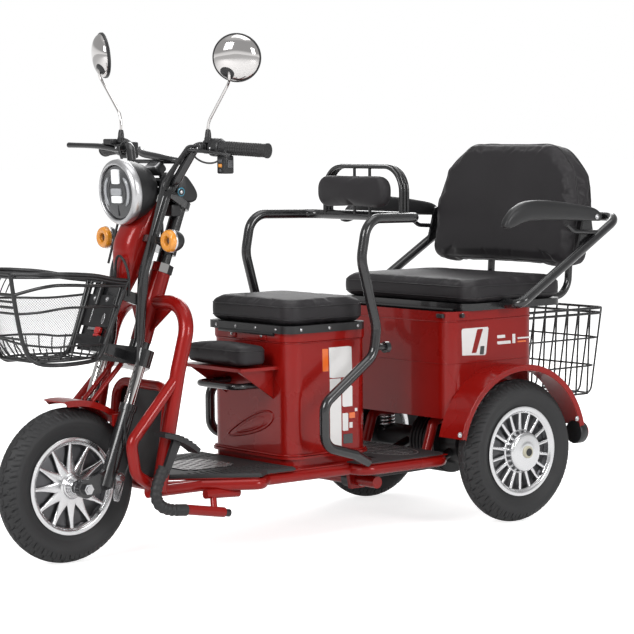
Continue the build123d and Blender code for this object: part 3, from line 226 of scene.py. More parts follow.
def round_corners(half_x, half_y, corner, steps=8):
    """The outline of a rounded rectangle: a quarter circle at each corner, in order round it."""
    turn = np.linspace(0, pi / 2, steps)
    quarter = np.arange(4)[:, None] * pi / 2 + turn[None]
    sign_x = np.array([1, -1, -1, 1])[:, None]
    sign_y = np.array([1, 1, -1, -1])[:, None]
    x = sign_x * (half_x - corner) + corner * np.cos(quarter)
    y = sign_y * (half_y - corner) + corner * np.sin(quarter)
    return np.stack([x.ravel(), y.ravel()], -1)


def slab(middle, half, corner, edge, steps=8, edge_steps=4, axes=None):
    """A block with round corners and soft rims: the outline shrinks along a quarter circle towards
    its top and bottom faces. axes are the directions of its width, its depth and its height."""
    axes = np.eye(3) if axes is None else np.asarray(axes, float)
    bend = np.linspace(0, pi / 2, edge_steps)
    inset = np.concatenate([edge * (1 - np.sin(bend)), edge * (1 - np.cos(bend))])
    height = np.concatenate([-half[2] + edge * (1 - np.cos(bend)), half[2] - edge * (1 - np.sin(bend))])
    turn = (np.arange(4)[:, None] * pi / 2 + np.linspace(0, pi / 2, steps)[None]).ravel()
    sign = np.repeat(np.array([[1, 1], [-1, 1], [-1, -1], [1, -1]]), steps, 0)
    middles = sign * (np.asarray(half[:2]) - corner)
    reach = np.maximum(corner - inset, 0.05)[:, None, None]
    flat = middles[None] + reach * np.stack([np.cos(turn), np.sin(turn)], -1)[None]
    local = np.concatenate([flat, np.broadcast_to(height[:, None, None], flat.shape[:2] + (1,))], -1)
    return closed(np.asarray(middle, float) + local @ axes)


def bolt(middle, axis, size=6.0, high=4.0):
    """A round-headed bolt: a washer, a step and a low dome."""
    profile = [
        (-1, size * 1.3), (0.8, size * 1.3), (1.0, size * 1.2), (1.0, size), (high * 0.6, size * 0.95),
        (high, size * 0.6), (high * 1.1, 0.02),
    ]
    return spun(profile, middle, axis, 16)


def fork(points):
    """Station points from fork coordinates: side offset, behind the steering axis, along it."""
    p = np.asarray(points, float)
    behind, along = p[..., 1], p[..., 2]
    return np.stack(
        [p[..., 0], 30 + behind * cos(LEAN) + along * sin(LEAN), along * cos(LEAN) - behind * sin(LEAN)], -1
    )


def make(name, parts, finishes, body, stands_for=(), sharp=38.0):
    """One object from several closed sheets. Each part is (points, faces) or (points, faces, number
    of its finish); points are side offset, distance behind the front axle and height."""
    points, faces, which, count = [], [], [], 0
    for part in parts:
        points.append(part[0])
        faces.append(part[1] + count)
        which.append(np.full(len(part[1]), part[2] if len(part) > 2 else 0))
        count += len(part[0])
    points = (np.concatenate(points) + np.array([0, ROW_Y, 0])) / 1000
    mesh = bpy.data.meshes.new(name)
    mesh.from_pydata(points.tolist(), [], np.concatenate(faces).tolist())
    mesh.polygons.foreach_set("material_index", np.concatenate(which).astype(np.int32))
    for finish in finishes:
        mesh.materials.append(MADE[finish])
    work = bmesh.new()
    work.from_mesh(mesh)
    bmesh.ops.remove_doubles(work, verts=work.verts, dist=2e-6)
    bmesh.ops.dissolve_degenerate(work, dist=1e-7, edges=work.edges)
    bmesh.ops.recalc_face_normals(work, faces=work.faces)
    work.to_mesh(mesh)
    work.free()
    mesh.polygons.foreach_set("use_smooth", np.ones(len(mesh.polygons), bool))
    mesh.set_sharp_from_angle(angle=radians(sharp))
    obj = bpy.data.objects.new(name, mesh)
    bpy.context.scene.collection.objects.link(obj)
    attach(obj, body)
    if stands_for:
        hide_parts(*stands_for)
    return obj


# ------------------------------------------------------------------ finishes
MADE = {}


def dialled(shader, **values):
    """A shader node with these values on its inputs."""
    for name, value in values.items():
        shader.inputs[name].default_value = value
    return shader


def node(tree, kind, **values):
    """A new shader node with these values on its inputs."""
    return dialled(tree.nodes.new("ShaderNode" + kind), **values)


def finish(
    name, colour, rough, metal=0.0, coat=0.0, grain=900.0, depth=0.0, cells=False, patch=14.0,
    change=0.25, rough_change=0.06, level=0.5, glow=0.0,
):
    """A finish whose colour and gloss drift over broad patches and whose surface has a fine grain.
    Patches and grain are per metre; depth is the grain's height in metres."""
    material = bpy.data.materials.new(name)
    material.use_nodes = True
    tree = material.node_tree
    link = tree.links.new
    where = node(tree, "TexCoord").outputs["Object"]
    broad = node(tree, "TexNoise", Scale=patch, Detail=5)
    tone = node(tree, "Mix")
    tone.data_type = "RGBA"
    low = [c * (1 - change) for c in colour]
    high = [min(1.0, c * (1 + change)) for c in colour]
    dialled(tone, A=(*low, 1), B=(*high, 1))
    least, most = max(0.0, rough - rough_change), min(1.0, rough + rough_change)
    gloss = node(tree, "MapRange", **{"To Min": least, "To Max": most})
    # glow gives off light in the finish's own colour; only lamp_white uses it, as a painted highlight
    shader = dialled(tree.nodes["Principled BSDF"], **{
        "Metallic": metal, "Coat Weight": coat, "Coat Roughness": 0.04, "Specular IOR Level": level,
        "Emission Color": (*colour, 1), "Emission Strength": glow,
    })
    link(where, broad.inputs["Vector"])
    link(broad.outputs["Fac"], tone.inputs["Factor"])
    link(tone.outputs["Result"], shader.inputs["Base Color"])
    link(broad.outputs["Fac"], gloss.inputs["Value"])
    link(gloss.outputs["Result"], shader.inputs["Roughness"])
    if depth:
        if cells:
            fine = node(tree, "TexVoronoi", Scale=grain)
            fine.feature = "SMOOTH_F1"
            height = fine.outputs["Distance"]
        else:
            fine = node(tree, "TexNoise", Scale=grain, Detail=3)
            height = fine.outputs["Fac"]
        bump = node(tree, "Bump", Distance=depth, Strength=1.0)
        link(where, fine.inputs["Vector"])
        link(height, bump.inputs["Height"])
        link(bump.outputs["Normal"], shader.inputs["Normal"])
    MADE[name] = material


CAD_FINISHES = {
    "red_gloss": "main_frame floor_pans front_seat_box rear_box rear_fenders front_mudguard",
    "black_gloss": "seat_tubes fork_legs steering_column fork_clamp handlebar rear_seat_frame",
    "black_satin": "splash_plate brake_pedal rear_axle driver_seat_pan",
    "case_grey": "battery", "black_wire": "rear_basket", "chrome": "fork_chrome",
    "steel": "front_axle front_brake", "black_rubber": "brake_cable",
}


class TRIKE_OT_finishes(bpy.types.Operator):
    """Make the finishes and give each piece of the frame its own"""

    bl_idname = "trike.finishes"
    bl_label = "Finishes"

    def execute(self, context):
        paint = context.scene.trike_paint
        finish(
            "red_gloss", paint.red, 0.28, metal=0.1, coat=0.35, level=0.2, grain=2600, depth=0.000012,
            patch=5,
        )
        finish("black_gloss", paint.black, 0.26, coat=0.6, grain=1500, depth=0.00001, patch=10)
        finish("black_satin", paint.black, 0.42, coat=0.1, grain=1400, depth=0.00003, patch=12)
        finish("black_wire", paint.black, 0.36, coat=0.15, grain=900, depth=0.00002, patch=18)
        finish("leather", paint.leather, 0.5, grain=620, depth=0.00022, cells=True, patch=9, level=0.28)
        finish("piping", [c * 0.7 for c in paint.leather], 0.5, grain=900, depth=0.0001, cells=True)
        finish("tyre", paint.rubber, 0.62, grain=1100, depth=0.00006, patch=22, rough_change=0.1)
        finish("mat_rubber", [c * 1.1 for c in paint.rubber], 0.6, grain=800, depth=0.00008)
        finish("black_rubber", [c * 0.9 for c in paint.rubber], 0.55, grain=900, depth=0.00006)
        finish("black_plastic", (0.016, 0.016, 0.017), 0.38, grain=1300, depth=0.00004, patch=16)
        finish("grey_plastic", (0.09, 0.09, 0.095), 0.4, grain=1300, depth=0.00004, patch=16)
        finish("case_grey", (0.05, 0.05, 0.052), 0.5, grain=900, depth=0.00008)
        finish("alloy", paint.alloy, 0.24, metal=1.0, grain=1500, depth=0.00001, patch=30, change=0.06)
        finish("alloy_dark", (0.10, 0.10, 0.105), 0.35, metal=0.9, grain=1500, depth=0.00002)
        finish("chrome", (0.70, 0.68, 0.67), 0.06, metal=1.0, patch=8, change=0.03, rough_change=0.02)
        finish("brushed", (0.60, 0.60, 0.61), 0.36, metal=1.0, grain=1800, depth=0.00002, patch=30)
        finish("steel", (0.55, 0.55, 0.56), 0.26, metal=1.0, grain=900, depth=0.00002, patch=40)
        finish("amber_lens", paint.amber, 0.12, coat=1.0, grain=260, depth=0.0002, patch=90, change=0.3)
        finish("red_lens", (0.50, 0.008, 0.006), 0.10, coat=1.0, grain=240, depth=0.0002, patch=60)
        finish("lamp_dark", (0.045, 0.046, 0.05), 0.16, metal=0.4, coat=1.0, patch=26, change=0.4)
        # painted highlight: glow=0.3 makes the headlight's white light bars give off light, so they render as
        # bright as highlights
        finish("lamp_white", (0.86, 0.87, 0.88), 0.12, coat=1.0, patch=60, change=0.05, glow=0.3)
        finish("lamp_grey", (0.40, 0.41, 0.43), 0.14, coat=1.0, patch=60, change=0.1)
        finish("key_blue", (0.06, 0.32, 0.46), 0.2, coat=0.6, patch=120)
        finish("sticker_white", (0.80, 0.79, 0.78), 0.22, coat=0.8, patch=20, change=0.04)
        finish("sticker_accent", paint.accent, 0.22, coat=0.8, patch=20, change=0.08)
        finish("sticker_black", (0.014, 0.014, 0.015), 0.22, coat=0.8, patch=20)
        finish("mesh_metal", (0.30, 0.29, 0.31), 0.4, metal=0.6, patch=60, change=0.12)
        finish("cap_beige", (0.52, 0.49, 0.38), 0.45, grain=900, depth=0.00004, patch=60)
        finish("relief_metal", (0.30, 0.29, 0.29), 0.36, metal=0.7, grain=700, depth=0.00003, patch=40)
        for name, pieces in CAD_FINISHES.items():
            for piece in pieces.split():
                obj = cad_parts[piece]
                for number in range(max(1, len(obj.material_slots))):
                    if number < len(obj.material_slots):
                        obj.material_slots[number].material = MADE[name]
                    else:
                        obj.data.materials.append(MADE[name])
        return {"FINISHED"}


# ------------------------------------------------------------------ wheels
WHEELS = (
    ("front", 0.0, 0.0, 1, "front_wheel"),
    ("rear_left", HALF_TRACK, REAR_AXLE, 1, "rear_left_wheel"),
    ("rear_right", -HALF_TRACK, REAR_AXLE, -1, "rear_right_wheel"),
)
TREAD_R = 178.0      # where a pitch of the tread is measured


def tyre_skin(x, at, depth, pitches):
    """A tyre as a function of the turn round the axle and the way across the section. The section is
    a smooth loop from bead over the crown to bead; where it is tread, the radius drops by the
    groove depth wherever one of these is near zero: the distance to two stepped rings, and the
    distance to slanted cuts that repeat with every pitch and step sideways half way out."""
    half = [
        (24, 101.8), (25.7, 108), (26, 116), (29.5, 124), (35, 134), (38.8, 144), (40, 151), (38.5, 158),
        (34.5, 163.5), (28.8, 168.0), (22, 174), (14.5, 179), (7.5, 182.2), (0, 183),
    ]
    half = softened(half)
    section = evenly(np.concatenate([half, half[-2::-1] * [-1, 1]]), 84)
    step = np.linalg.norm(np.diff(section, axis=0), axis=1)
    run = np.concatenate([[0], np.cumsum(step)])
    run = (run - run[-1] / 2)[None]
    turn = np.linspace(0, 1, 720, endpoint=False)[:, None] * pitches
    pitch = 2 * pi * TREAD_R / pitches
    away = np.abs(run)
    hand = np.sign(run)
    wave = np.abs((turn + 0.25 * hand) % 1 - 0.5) * 4 - 1
    ring = np.abs(away - 9 - 3.2 * np.clip(wave * 2.2, -1, 1))
    slant = turn + 0.25 * hand - 0.016 * away - 0.16 * np.clip((away - 25) * 0.7, -1, 1)
    cut = np.abs(slant % 1 - 0.5) * pitch
    sipe = np.abs((slant + 0.5) % 1 - 0.5) * pitch
    groove = np.clip(1.9 - ring, 0, 0.9) / 0.9
    lateral = np.clip(2.1 - cut, 0, 0.9) / 0.9 * np.clip((away - 8) / 3, 0, 1)
    short = np.clip(1.2 - sipe, 0, 0.8) / 0.8 * np.clip((away - 24) / 2, 0, 1) * 0.7
    drop = np.maximum(np.maximum(groove, lateral), short) * np.clip((46 - away) / 2.5, 0, 1)
    radius = section[:, 1][None] - depth * drop
    wall = np.exp(-((section[:, 1][None] - np.array([127, 147])[:, None]) ** 2) / 1.6).sum(0)
    across = section[:, 0][None] + 0.7 * wall[None] * hand * (away > 46)
    angle = turn / pitches * 2 * pi
    rows = [x + across + 0 * angle, at + radius * np.sin(angle), AXLE_Z + radius * np.cos(angle)]
    return sheet(np.stack(rows, -1), True, True)


class TRIKE_OT_tyres(bpy.types.Operator):
    """Make the three tyres with their tread"""

    bl_idname = "trike.tyres"
    bl_label = "Tyres"

    def execute(self, context):
        wheels = context.scene.trike_wheels
        for name, x, at, _, body in WHEELS:
            skin = tyre_skin(x, at, wheels.tread_depth, wheels.tread_pitches)
            make(f"{name}_tyre_tread", [skin], ["tyre"], body, [f"{name}_tyre"], 30)
        return {"FINISHED"}


def spokes(x, at, side, count, root, tip, root_wide, tip_wide, face, thick, dish):
    """Cast spokes: each is a rounded bar carried outward from the hub, its width easing from root to
    tip, its face sinking by the dish at mid length; copies are turned evenly round the axle."""
    out = np.linspace(0, 1, 14)
    reach = root + (tip - root) * out
    wide = (tip_wide + (root_wide - tip_wide) * (1 - out) ** 1.7) / 2
    high = face - dish * np.sin(pi * out) - 1.5 * out
    turn = turns(16)
    sideways = wide[:, None] * squared(np.cos(turn), 0.55)[None]
    upward = (high - thick / 2)[:, None] + thick / 2 * squared(np.sin(turn), 0.7)[None]
    parts = []
    for number in range(count):
        angle = 2 * pi * number / count
        y = reach[:, None] * sin(angle) + sideways * cos(angle)
        z = reach[:, None] * cos(angle) - sideways * sin(angle)
        parts.append(closed(np.stack([x + side * upward, at + y, AXLE_Z + z], -1)))
    return parts


def rim_parts(x, at, side, count, front):
    """A cast rim: the turned well with rolled lips, the spokes and the turned hub."""
    well = [
        (-31, 106), (-31, 114), (-29.5, 115.6), (-27.3, 114.6), (-26.2, 110), (-26, 102.5), (-24, 101.4),
        (24, 101.4), (26, 102.5), (26.2, 110), (27.3, 114.6), (29.5, 115.6), (31, 114), (31, 107),
        (29.8, 103.5), (26, 101), (24, 97.5), (-24, 97.5), (-29, 99.5),
    ]
    axis = (side, 0, 0)
    middle = (x, at, AXLE_Z)
    parts = [spun(softened(well, 1, True), middle, axis, 112, True)]
    if front:
        parts += spokes(x, at, side, count, 26, 99.5, 34, 9, 27, 8, 3)
        hub = [
            (-50, 9), (-50, 24), (-46, 27), (-20, 30), (-18, 44), (6, 46), (16, 44), (22, 36), (27, 30),
            (30, 27), (33, 26), (34, 23), (38, 22.4), (39, 21), (43, 20.6), (44, 19), (48, 18.6), (50, 17),
            (50, 9),
        ]
    else:
        parts += spokes(x, at, side, count, 44, 99.5, 11, 8, 25, 8, 1)
        hub = [
            (-33, 11), (-33, 50), (-30, 55), (20, 57), (24, 56), (26, 52.5), (40, 51), (44, 49.5),
            (47, 46), (48, 40), (48.6, 26), (50, 22), (50, 11),
        ]
    parts.append(spun(softened(hub, 1), middle, axis, 96))
    return parts


class TRIKE_OT_rims(bpy.types.Operator):
    """Make the cast rims, their hubs, caps and valves"""

    bl_idname = "trike.rims"
    bl_label = "Rims"

    def execute(self, context):
        wheels = context.scene.trike_wheels
        for name, x, at, side, body in WHEELS:
            front = name == "front"
            count = wheels.front_spokes if front else wheels.rear_spokes
            parts = [(*part, 0) for part in rim_parts(x, at, side, count, front)]
            centre = np.array([x, at, AXLE_Z])
            drum = [(-24, 20), (-24, 94), (-20, 97), (8, 97), (10, 92), (11, 20)]
            parts.append((*spun(drum, centre, (side, 0, 0), 64), 1))
            if not front:
                cap = [(49, 1), (49, 16), (53.5, 15.6), (55, 14), (55.4, 9), (55.5, 0.05)]
                parts.append((*spun(cap, centre + [0, 0, 0], (side, 0, 0), 40), 2))
            valve = np.array([[x + side * 24, at + 70, AXLE_Z - 66], [x + side * 34, at + 66, AXLE_Z - 62]])
            parts.append((*tube(evenly(valve, 6), [4, 4, 3, 3, 3.4, 3.4], 12), 3))
            make(
                f"{name}_cast_rim", parts, ["alloy", "alloy_dark", "cap_beige", "black_rubber"], body,
                [f"{name}_rim"], 32,
            )
        return {"FINISHED"}


# ------------------------------------------------------------------ seats
VOXEL = 0.005        # metres, of a cushion's remeshed skin
AIR_FRAMES = 20      # of cloth simulation
PROUD = 0.35         # share of its radius by which the piping's middle stands out of the skin
AROUND = 30          # from a cushion's side to where its seam is cast from
LEVEL = np.eye(3)
UPRIGHT = np.array([[1, 0, 0], [0, 0, 1], [0, -1, 0]])


def skin_points(mesh):
    """A mesh's vertices as rows of an array, in metres."""
    points = np.empty(len(mesh.vertices) * 3)
    mesh.vertices.foreach_get("co", points)
    return points.reshape(-1, 3)


def filled(obj, seats, point, up):
    """Blow a cushion up: its skin is remeshed evenly, swollen by cloth simulation, no vertex further
    than the cap from where it began nor below its seat's point, then subdivided once."""
    scene = bpy.context.scene
    remesh = obj.modifiers.new("even", "REMESH")
    remesh.mode = "VOXEL"
    remesh.voxel_size = VOXEL
    graph = bpy.context.evaluated_depsgraph_get()
    even = bpy.data.meshes.new_from_object(obj.evaluated_get(graph))
    obj.modifiers.clear()
    even.name = obj.data.name
    for material in obj.data.materials:
        if material.name not in even.materials:
            even.materials.append(material)
    obj.data = even
    before = skin_points(even)
    after = before
    cloth = obj.modifiers.new("air", "CLOTH")
    cloth.settings.use_pressure = True
    cloth.settings.uniform_pressure_force = seats.pressure
    cloth.settings.quality = 4
    cloth.settings.effector_weights.gravity = 0.0
    cloth.point_cache.frame_start = 1
    cloth.point_cache.frame_end = AIR_FRAMES
    for number in range(1, AIR_FRAMES + 1):
        scene.frame_set(number)
    blown = obj.evaluated_get(bpy.context.evaluated_depsgraph_get())
    after = skin_points(blown.to_mesh())
    blown.to_mesh_clear()
    obj.modifiers.clear()
    scene.frame_set(1)
    move = after - before
    length = np.linalg.norm(move, axis=1, keepdims=True)
    most = seats.swell / 1000
    after = before + move * np.minimum(1.0, most / np.maximum(length, 1e-9))
    under = np.minimum((after - point) @ up, 0)
    after = after - under[:, None] * up
    even.vertices.foreach_set("co", after.ravel())
    even.update()
    even.polygons.foreach_set("use_smooth", np.ones(len(even.polygons), bool))
    fine = obj.modifiers.new("fine", "SUBSURF")
    fine.levels = 1
    fine.render_levels = 1


def row_point(point):
    """A station point in the row frame, in metres."""
    return Vector((point[0] / 1000, (point[1] + ROW_Y) / 1000, point[2] / 1000))


def seam(obj, name, loop, inward, radius, body):
    """Piping along a cushion: each point of the loop is carried along its inward direction until it
    meets the cushion's skin, and a thin bar follows the points met."""
    bpy.context.view_layer.update()
    tree = BVHTree.FromObject(obj, bpy.context.evaluated_depsgraph_get())
    met = []
    for start, way in zip(loop, inward):
        hit = tree.ray_cast(row_point(start), Vector(way).normalized(), 0.2)[0]
        if hit is not None:
            met.append([hit.x * 1000, hit.y * 1000 - ROW_Y, hit.z * 1000])
    if len(met) < len(loop):
        raise RuntimeError(f"the seam of {obj.name} misses its skin")
    way = unit(inward)
    path = np.asarray(met) - way * radius * PROUD
    for _ in range(2):
        path = (np.roll(path, 1, 0) + 2 * path + np.roll(path, -1, 0)) / 4
    up = np.cross(way[0], path[1] - path[0])
    make(name, [tube(path, radius, 8, up, True)], ["piping"], body, sharp=80)


def pad(seats, name, piece, body, middle, half, corner, edge, seams, floor_at, axes):
    """A cushion from a soft block, blown up, with piping at the given heights of its own frame."""
    block = slab(middle, half, corner, edge, 10, 6, axes)
    obj = make(name, [block], ["leather"], body, [piece], 180)
    filled(obj, seats, np.asarray(row_point(middle + axes[2] * floor_at)), axes[2])
    outline = round_corners(half[0] + AROUND, half[1] + AROUND, corner + AROUND, 12)
    outline = evenly(outline, 150, True)
    reach = np.array(half[:2]) - corner
    inward = raised(np.clip(outline, -reach, reach) - outline, 0) @ axes
    for number, height in enumerate(seams):
        loop = middle + raised(outline, height) @ axes
        seam(obj, f"{name}_piping_{number + 1}", loop, inward, seats.piping, body)


class TRIKE_OT_cushions(bpy.types.Operator):
    """Make the driver's, child's and rear cushions and the small backrest"""

    bl_idname = "trike.cushions"
    bl_label = "Cushions"

    def execute(self, context):
        for row in (
            ("driver_seat_pad", "driver_cushion", "driver_seat", (0, 665, 561), (171, 130, 25), 38, 15,
             (15, -15), -28.9, LEVEL),
            ("child_seat_pad", "child_seat", "frame", (0, 475, 460.4), (115, 42, 23), 24, 11,
             (13,), -27.8, LEVEL),
            ("rear_seat_pad", "rear_cushion", "rear_seat", (0, 1222, 591), (259, 179, 24), 44, 16,
             (14, -14), -28.0, LEVEL),
            ("small_back_pad", "small_backrest", "frame", (0, 889.7, 848), (131, 40, 19), 34, 13,
             (), -22.9, UPRIGHT),
        ):
            pad(context.scene.trike_seats, *row)
        return {"FINISHED"}


BACK_LEAN = radians(9.0)
BACK_AXES = np.array([
    [1, 0, 0], [0, sin(BACK_LEAN), cos(BACK_LEAN)], [0, -cos(BACK_LEAN), sin(BACK_LEAN)],
])
BACK_FOOT = np.array([0, 1385.0, 640.0])
BACK_MIDDLE = np.array([0, 170])


def octagon(inset=0.0):
    """The backrest's outline, its corners cut and rounded, in its own width and height."""
    right = [(276, 28), (284, 165), (258, 262), (168, 341)]
    corners = [(-250, 3), (250, 3), *right, *((-x, up) for x, up in right[::-1])]
    loop = evenly(softened(clipped(corners, 0.12), 2, True), 160, True)
    way = loop - BACK_MIDDLE
    return loop - inset * way / np.linalg.norm(way, axis=1, keepdims=True)


class TRIKE_OT_backrest(bpy.types.Operator):
    """Make the eight-sided backrest of the rear bench"""

    bl_idname = "trike.backrest"
    bl_label = "Backrest"

    def execute(self, context):
        seats = context.scene.trike_seats
        bend = np.linspace(0, pi / 2, 7)
        inset = np.concatenate([17 * (1 - np.sin(bend)), 7 * (1 - np.cos(bend))]) + 5
        depth = np.concatenate([-4 - 20 * (1 - np.cos(bend)), -77 + 7 * (1 - np.sin(bend))])
        rows = [raised(octagon(edge), level) for edge, level in zip(inset, depth)]
        body = make(
            "rear_backrest_pad", [closed(BACK_FOOT + np.stack(rows) @ BACK_AXES)], ["leather"],
            "rear_seat", ["rear_backrest"], 180,
        )
        back = np.asarray(row_point(BACK_FOOT - BACK_AXES[2] * 79.5))
        filled(body, seats, back, BACK_AXES[2])
        outline = octagon(-AROUND)
        inward = raised(BACK_MIDDLE - outline, 0) @ BACK_AXES
        for number, level in enumerate((-19, -66)):
            loop = BACK_FOOT + raised(outline, level) @ BACK_AXES
            seam(body, f"rear_backrest_piping_{number + 1}", loop, inward, seats.piping, "rear_seat")
        return {"FINISHED"}


class TRIKE_OT_armrests(bpy.types.Operator):
    """Make the two moulded armrests of the rear bench and their pivot bolts"""

    bl_idname = "trike.armrests"
    bl_label = "Armrests"

    def execute(self, context):
        top = evenly(softened([
            (1112, 762), (1122, 782), (1148, 806), (1196, 825), (1300, 819), (1390, 806), (1440, 797),
            (1457, 784),
        ]), 60)
        low = evenly(softened([
            (1113, 757), (1126, 752), (1146, 757), (1186, 770), (1226, 772), (1300, 769), (1400, 764),
            (1455, 762),
        ]), 60)
        along = np.linspace(0, 1, 60)
        wide = 19.2 * np.clip(0.62 + 0.38 * np.sin(pi * np.clip(along * 1.15, 0, 1)), 0, 1)
        wide = wide * np.clip((along + 0.02) * 16, 0.3, 1) ** 0.5
        turn = turns(28)
        crest = squared(np.sin(turn), 0.75)[None]
        middle, rise = (top + low) / 2, (top - low) / 2
        for side, label in ((1, "left"), (-1, "right")):
            offset = 315.2 + wide[:, None] * squared(np.cos(turn), 0.6)[None]
            rows = np.stack([
                side * offset, middle[:, :1] + rise[:, :1] * crest, middle[:, 1:] + rise[:, 1:] * crest,
            ], -1)
            parts = [closed(rows), (*bolt((side * 328, 1438, 774), (side, 0, 0), 5.5, 4), 1)]
            make(
                f"{label}_armrest_moulding", parts, ["black_plastic", "steel"], f"{label}_armrest",
                [f"{label}_armrest_pad"], 60,
            )
        return {"FINISHED"}


# ------------------------------------------------------------------ lamps and controls
LAMP_TILT = radians(4.6)
LAMP_AXIS = np.array([0, -cos(LAMP_TILT), -sin(LAMP_TILT)])
LAMP_UP = np.array([0, -sin(LAMP_TILT), cos(LAMP_TILT)])
LENS = np.array([0, 155.0, 863.0])


def on_lamp(x, up, out):
    """Station points from the headlight's own frame: sideways, up its face and out of it."""
    x, up, out = np.broadcast_arrays(np.asarray(x, float), up, out)
    return LENS + x[..., None] * [1, 0, 0] + up[..., None] * LAMP_UP + out[..., None] * LAMP_AXIS


def lamp_tile(corners, low, high, soft=2.5):
    """A raised tile on the lamp's face: its four corners are cut round, and its rim is bevelled."""
    corners = np.asarray(corners, float)
    loop = evenly(softened(clipped(corners, 0.08), 2, True), 64, True)
    way = unit(loop - corners.mean(0))
    rows = []
    for share, out in ((0.0, low), (0.0, high - 0.8), (0.35, high - 0.2), (1.0, high)):
        inner = loop - share * soft / 2 * way
        rows.append(on_lamp(inner[:, 0], inner[:, 1], out))
    return closed(np.stack(rows))


def lamp_arc(radius, thick, start, end, low, high):
    """A raised bar bent along a circle on the lamp's face, tapering at both ends."""
    angle = np.linspace(start, end, 30)
    wide = thick / 2 * np.clip(np.sin(np.linspace(0.05, pi - 0.05, 30)) * 2.2, 0.1, 1)
    ring = np.array([(-1, 0), (-1, 0.8), (-0.7, 1), (0.7, 1), (1, 0.8), (1, 0)], float)
    reach = radius + wide[:, None] * ring[None, :, 0]
    out = low + (high - low) * ring[None, :, 1] + 0 * reach
    return closed(on_lamp(reach * np.sin(angle)[:, None], reach * np.cos(angle)[:, None], out))


class TRIKE_OT_headlight(bpy.types.Operator):
    """Make the headlight: bowl, bevelled ring, dark face and its light bars"""

    bl_idname = "trike.headlight"
    bl_label = "Headlight"

    def execute(self, context):
        bowl = [
            (-100, 4), (-99, 24), (-93, 42), (-78, 57), (-58, 67), (-40, 72), (-26, 75), (-22, 76), (-21, 66),
        ]
        ring = [
            (-24, 70), (-23, 76), (-19, 78), (-9, 78), (-4, 76.6), (0, 72), (1.4, 69), (1.2, 66.5),
            (-1, 65.2), (-7, 64.4), (-12, 64), (-12, 62), (-24, 62),
        ]
        face = [(-14, 63.5), (-6.5, 63), (-5, 62), (-4, 52), (-2.6, 36), (-2, 18), (-1.8, 0.05)]
        parts = [
            (*spun(softened(bowl, 2), LENS, LAMP_AXIS, 96), 0),
            (*spun(softened(ring, 1, True), LENS, LAMP_AXIS, 112, True), 1),
            (*spun(face, LENS, LAMP_AXIS, 96), 2),
            (*lamp_tile([(-14, 55), (14, 55), (16, 20), (-16, 20)], -6, 0.8), 3),
            (*lamp_tile([(-20, 10), (20, 10), (20, -7), (-20, -7)], -6, 1.5), 5),
            (*lamp_tile([(-20, -8), (20, -8), (20, -25), (-20, -25)], -6, 1.7), 3),
            (*lamp_arc(47, 8, radians(42), radians(132), -7, -0.2), 5),
            (*lamp_arc(47, 8, radians(-132), radians(-42), -7, -0.2), 5),
            (*lamp_arc(34, 2.4, radians(35), radians(145), -6, -1.2), 4),
            (*lamp_arc(34, 2.4, radians(-145), radians(-35), -6, -1.2), 4),
            (*lamp_tile([(-0.9, -30), (0.9, -30), (0.9, -56), (-0.9, -56)], -6, -1.2, 0.3), 4),
        ]
        # the tiles in lamp_white glow a little: painted highlight on the light bars
        make(
            "headlight_unit", parts,
            ["black_plastic", "brushed", "lamp_dark", "lamp_white", "grey_plastic", "lamp_grey"], "steering",
            ["headlight"], 40,
        )
        return {"FINISHED"}


def shield_skin():
    """The shield below the headlight. At each height of the fork its section is a flat back closed by
    a bulging front, a squared half ellipse; width and bulge follow smooth curves of the height."""
    v = np.linspace(618, 862, 70)[:, None]
    half = np.interp(v, [618, 640, 680, 710, 740, 862], [7, 17, 33, 41, 44, 44])
    front = np.interp(
        v, [618, 650, 690, 725, 752, 790, 830, 862], [-92, -103, -122, -136, -140, -134, -117, -103],
    )
    for _ in range(6):
        for curve in (half, front):
            curve[1:-1] = (curve[:-2] + 2 * curve[1:-1] + curve[2:]) / 4
    turn = np.linspace(0, pi, 40)[None]
    x = half * squared(np.cos(turn), 0.7)
    u = -82 + (front + 82) * np.sin(turn) ** 0.62
    back = np.linspace(-0.96, 0.96, 14)[None]
    x = np.concatenate([x, half * back], 1)
    u = np.concatenate([u, np.full((70, 14), -79.0)], 1)
    return closed(fork(np.stack([x, u, v + 0 * x], -1)))


class TRIKE_OT_shield(bpy.types.Operator):
    """Make the bulging shield below the headlight"""

    bl_idname = "trike.shield"
    bl_label = "Shield"

    def execute(self, context):
        make("head_shield", [shield_skin()], ["red_gloss"], "steering", ["front_panel"], 60)
        return {"FINISHED"}


def lens_skin(middle, radius, out, turn):
    """A lens turned about y, from its radius and its distance out at each turn."""
    rows = [middle[0] + radius * np.cos(turn), middle[1] + out + 0 * turn, middle[2] + radius * np.sin(turn)]
    return closed(np.stack(rows, -1))


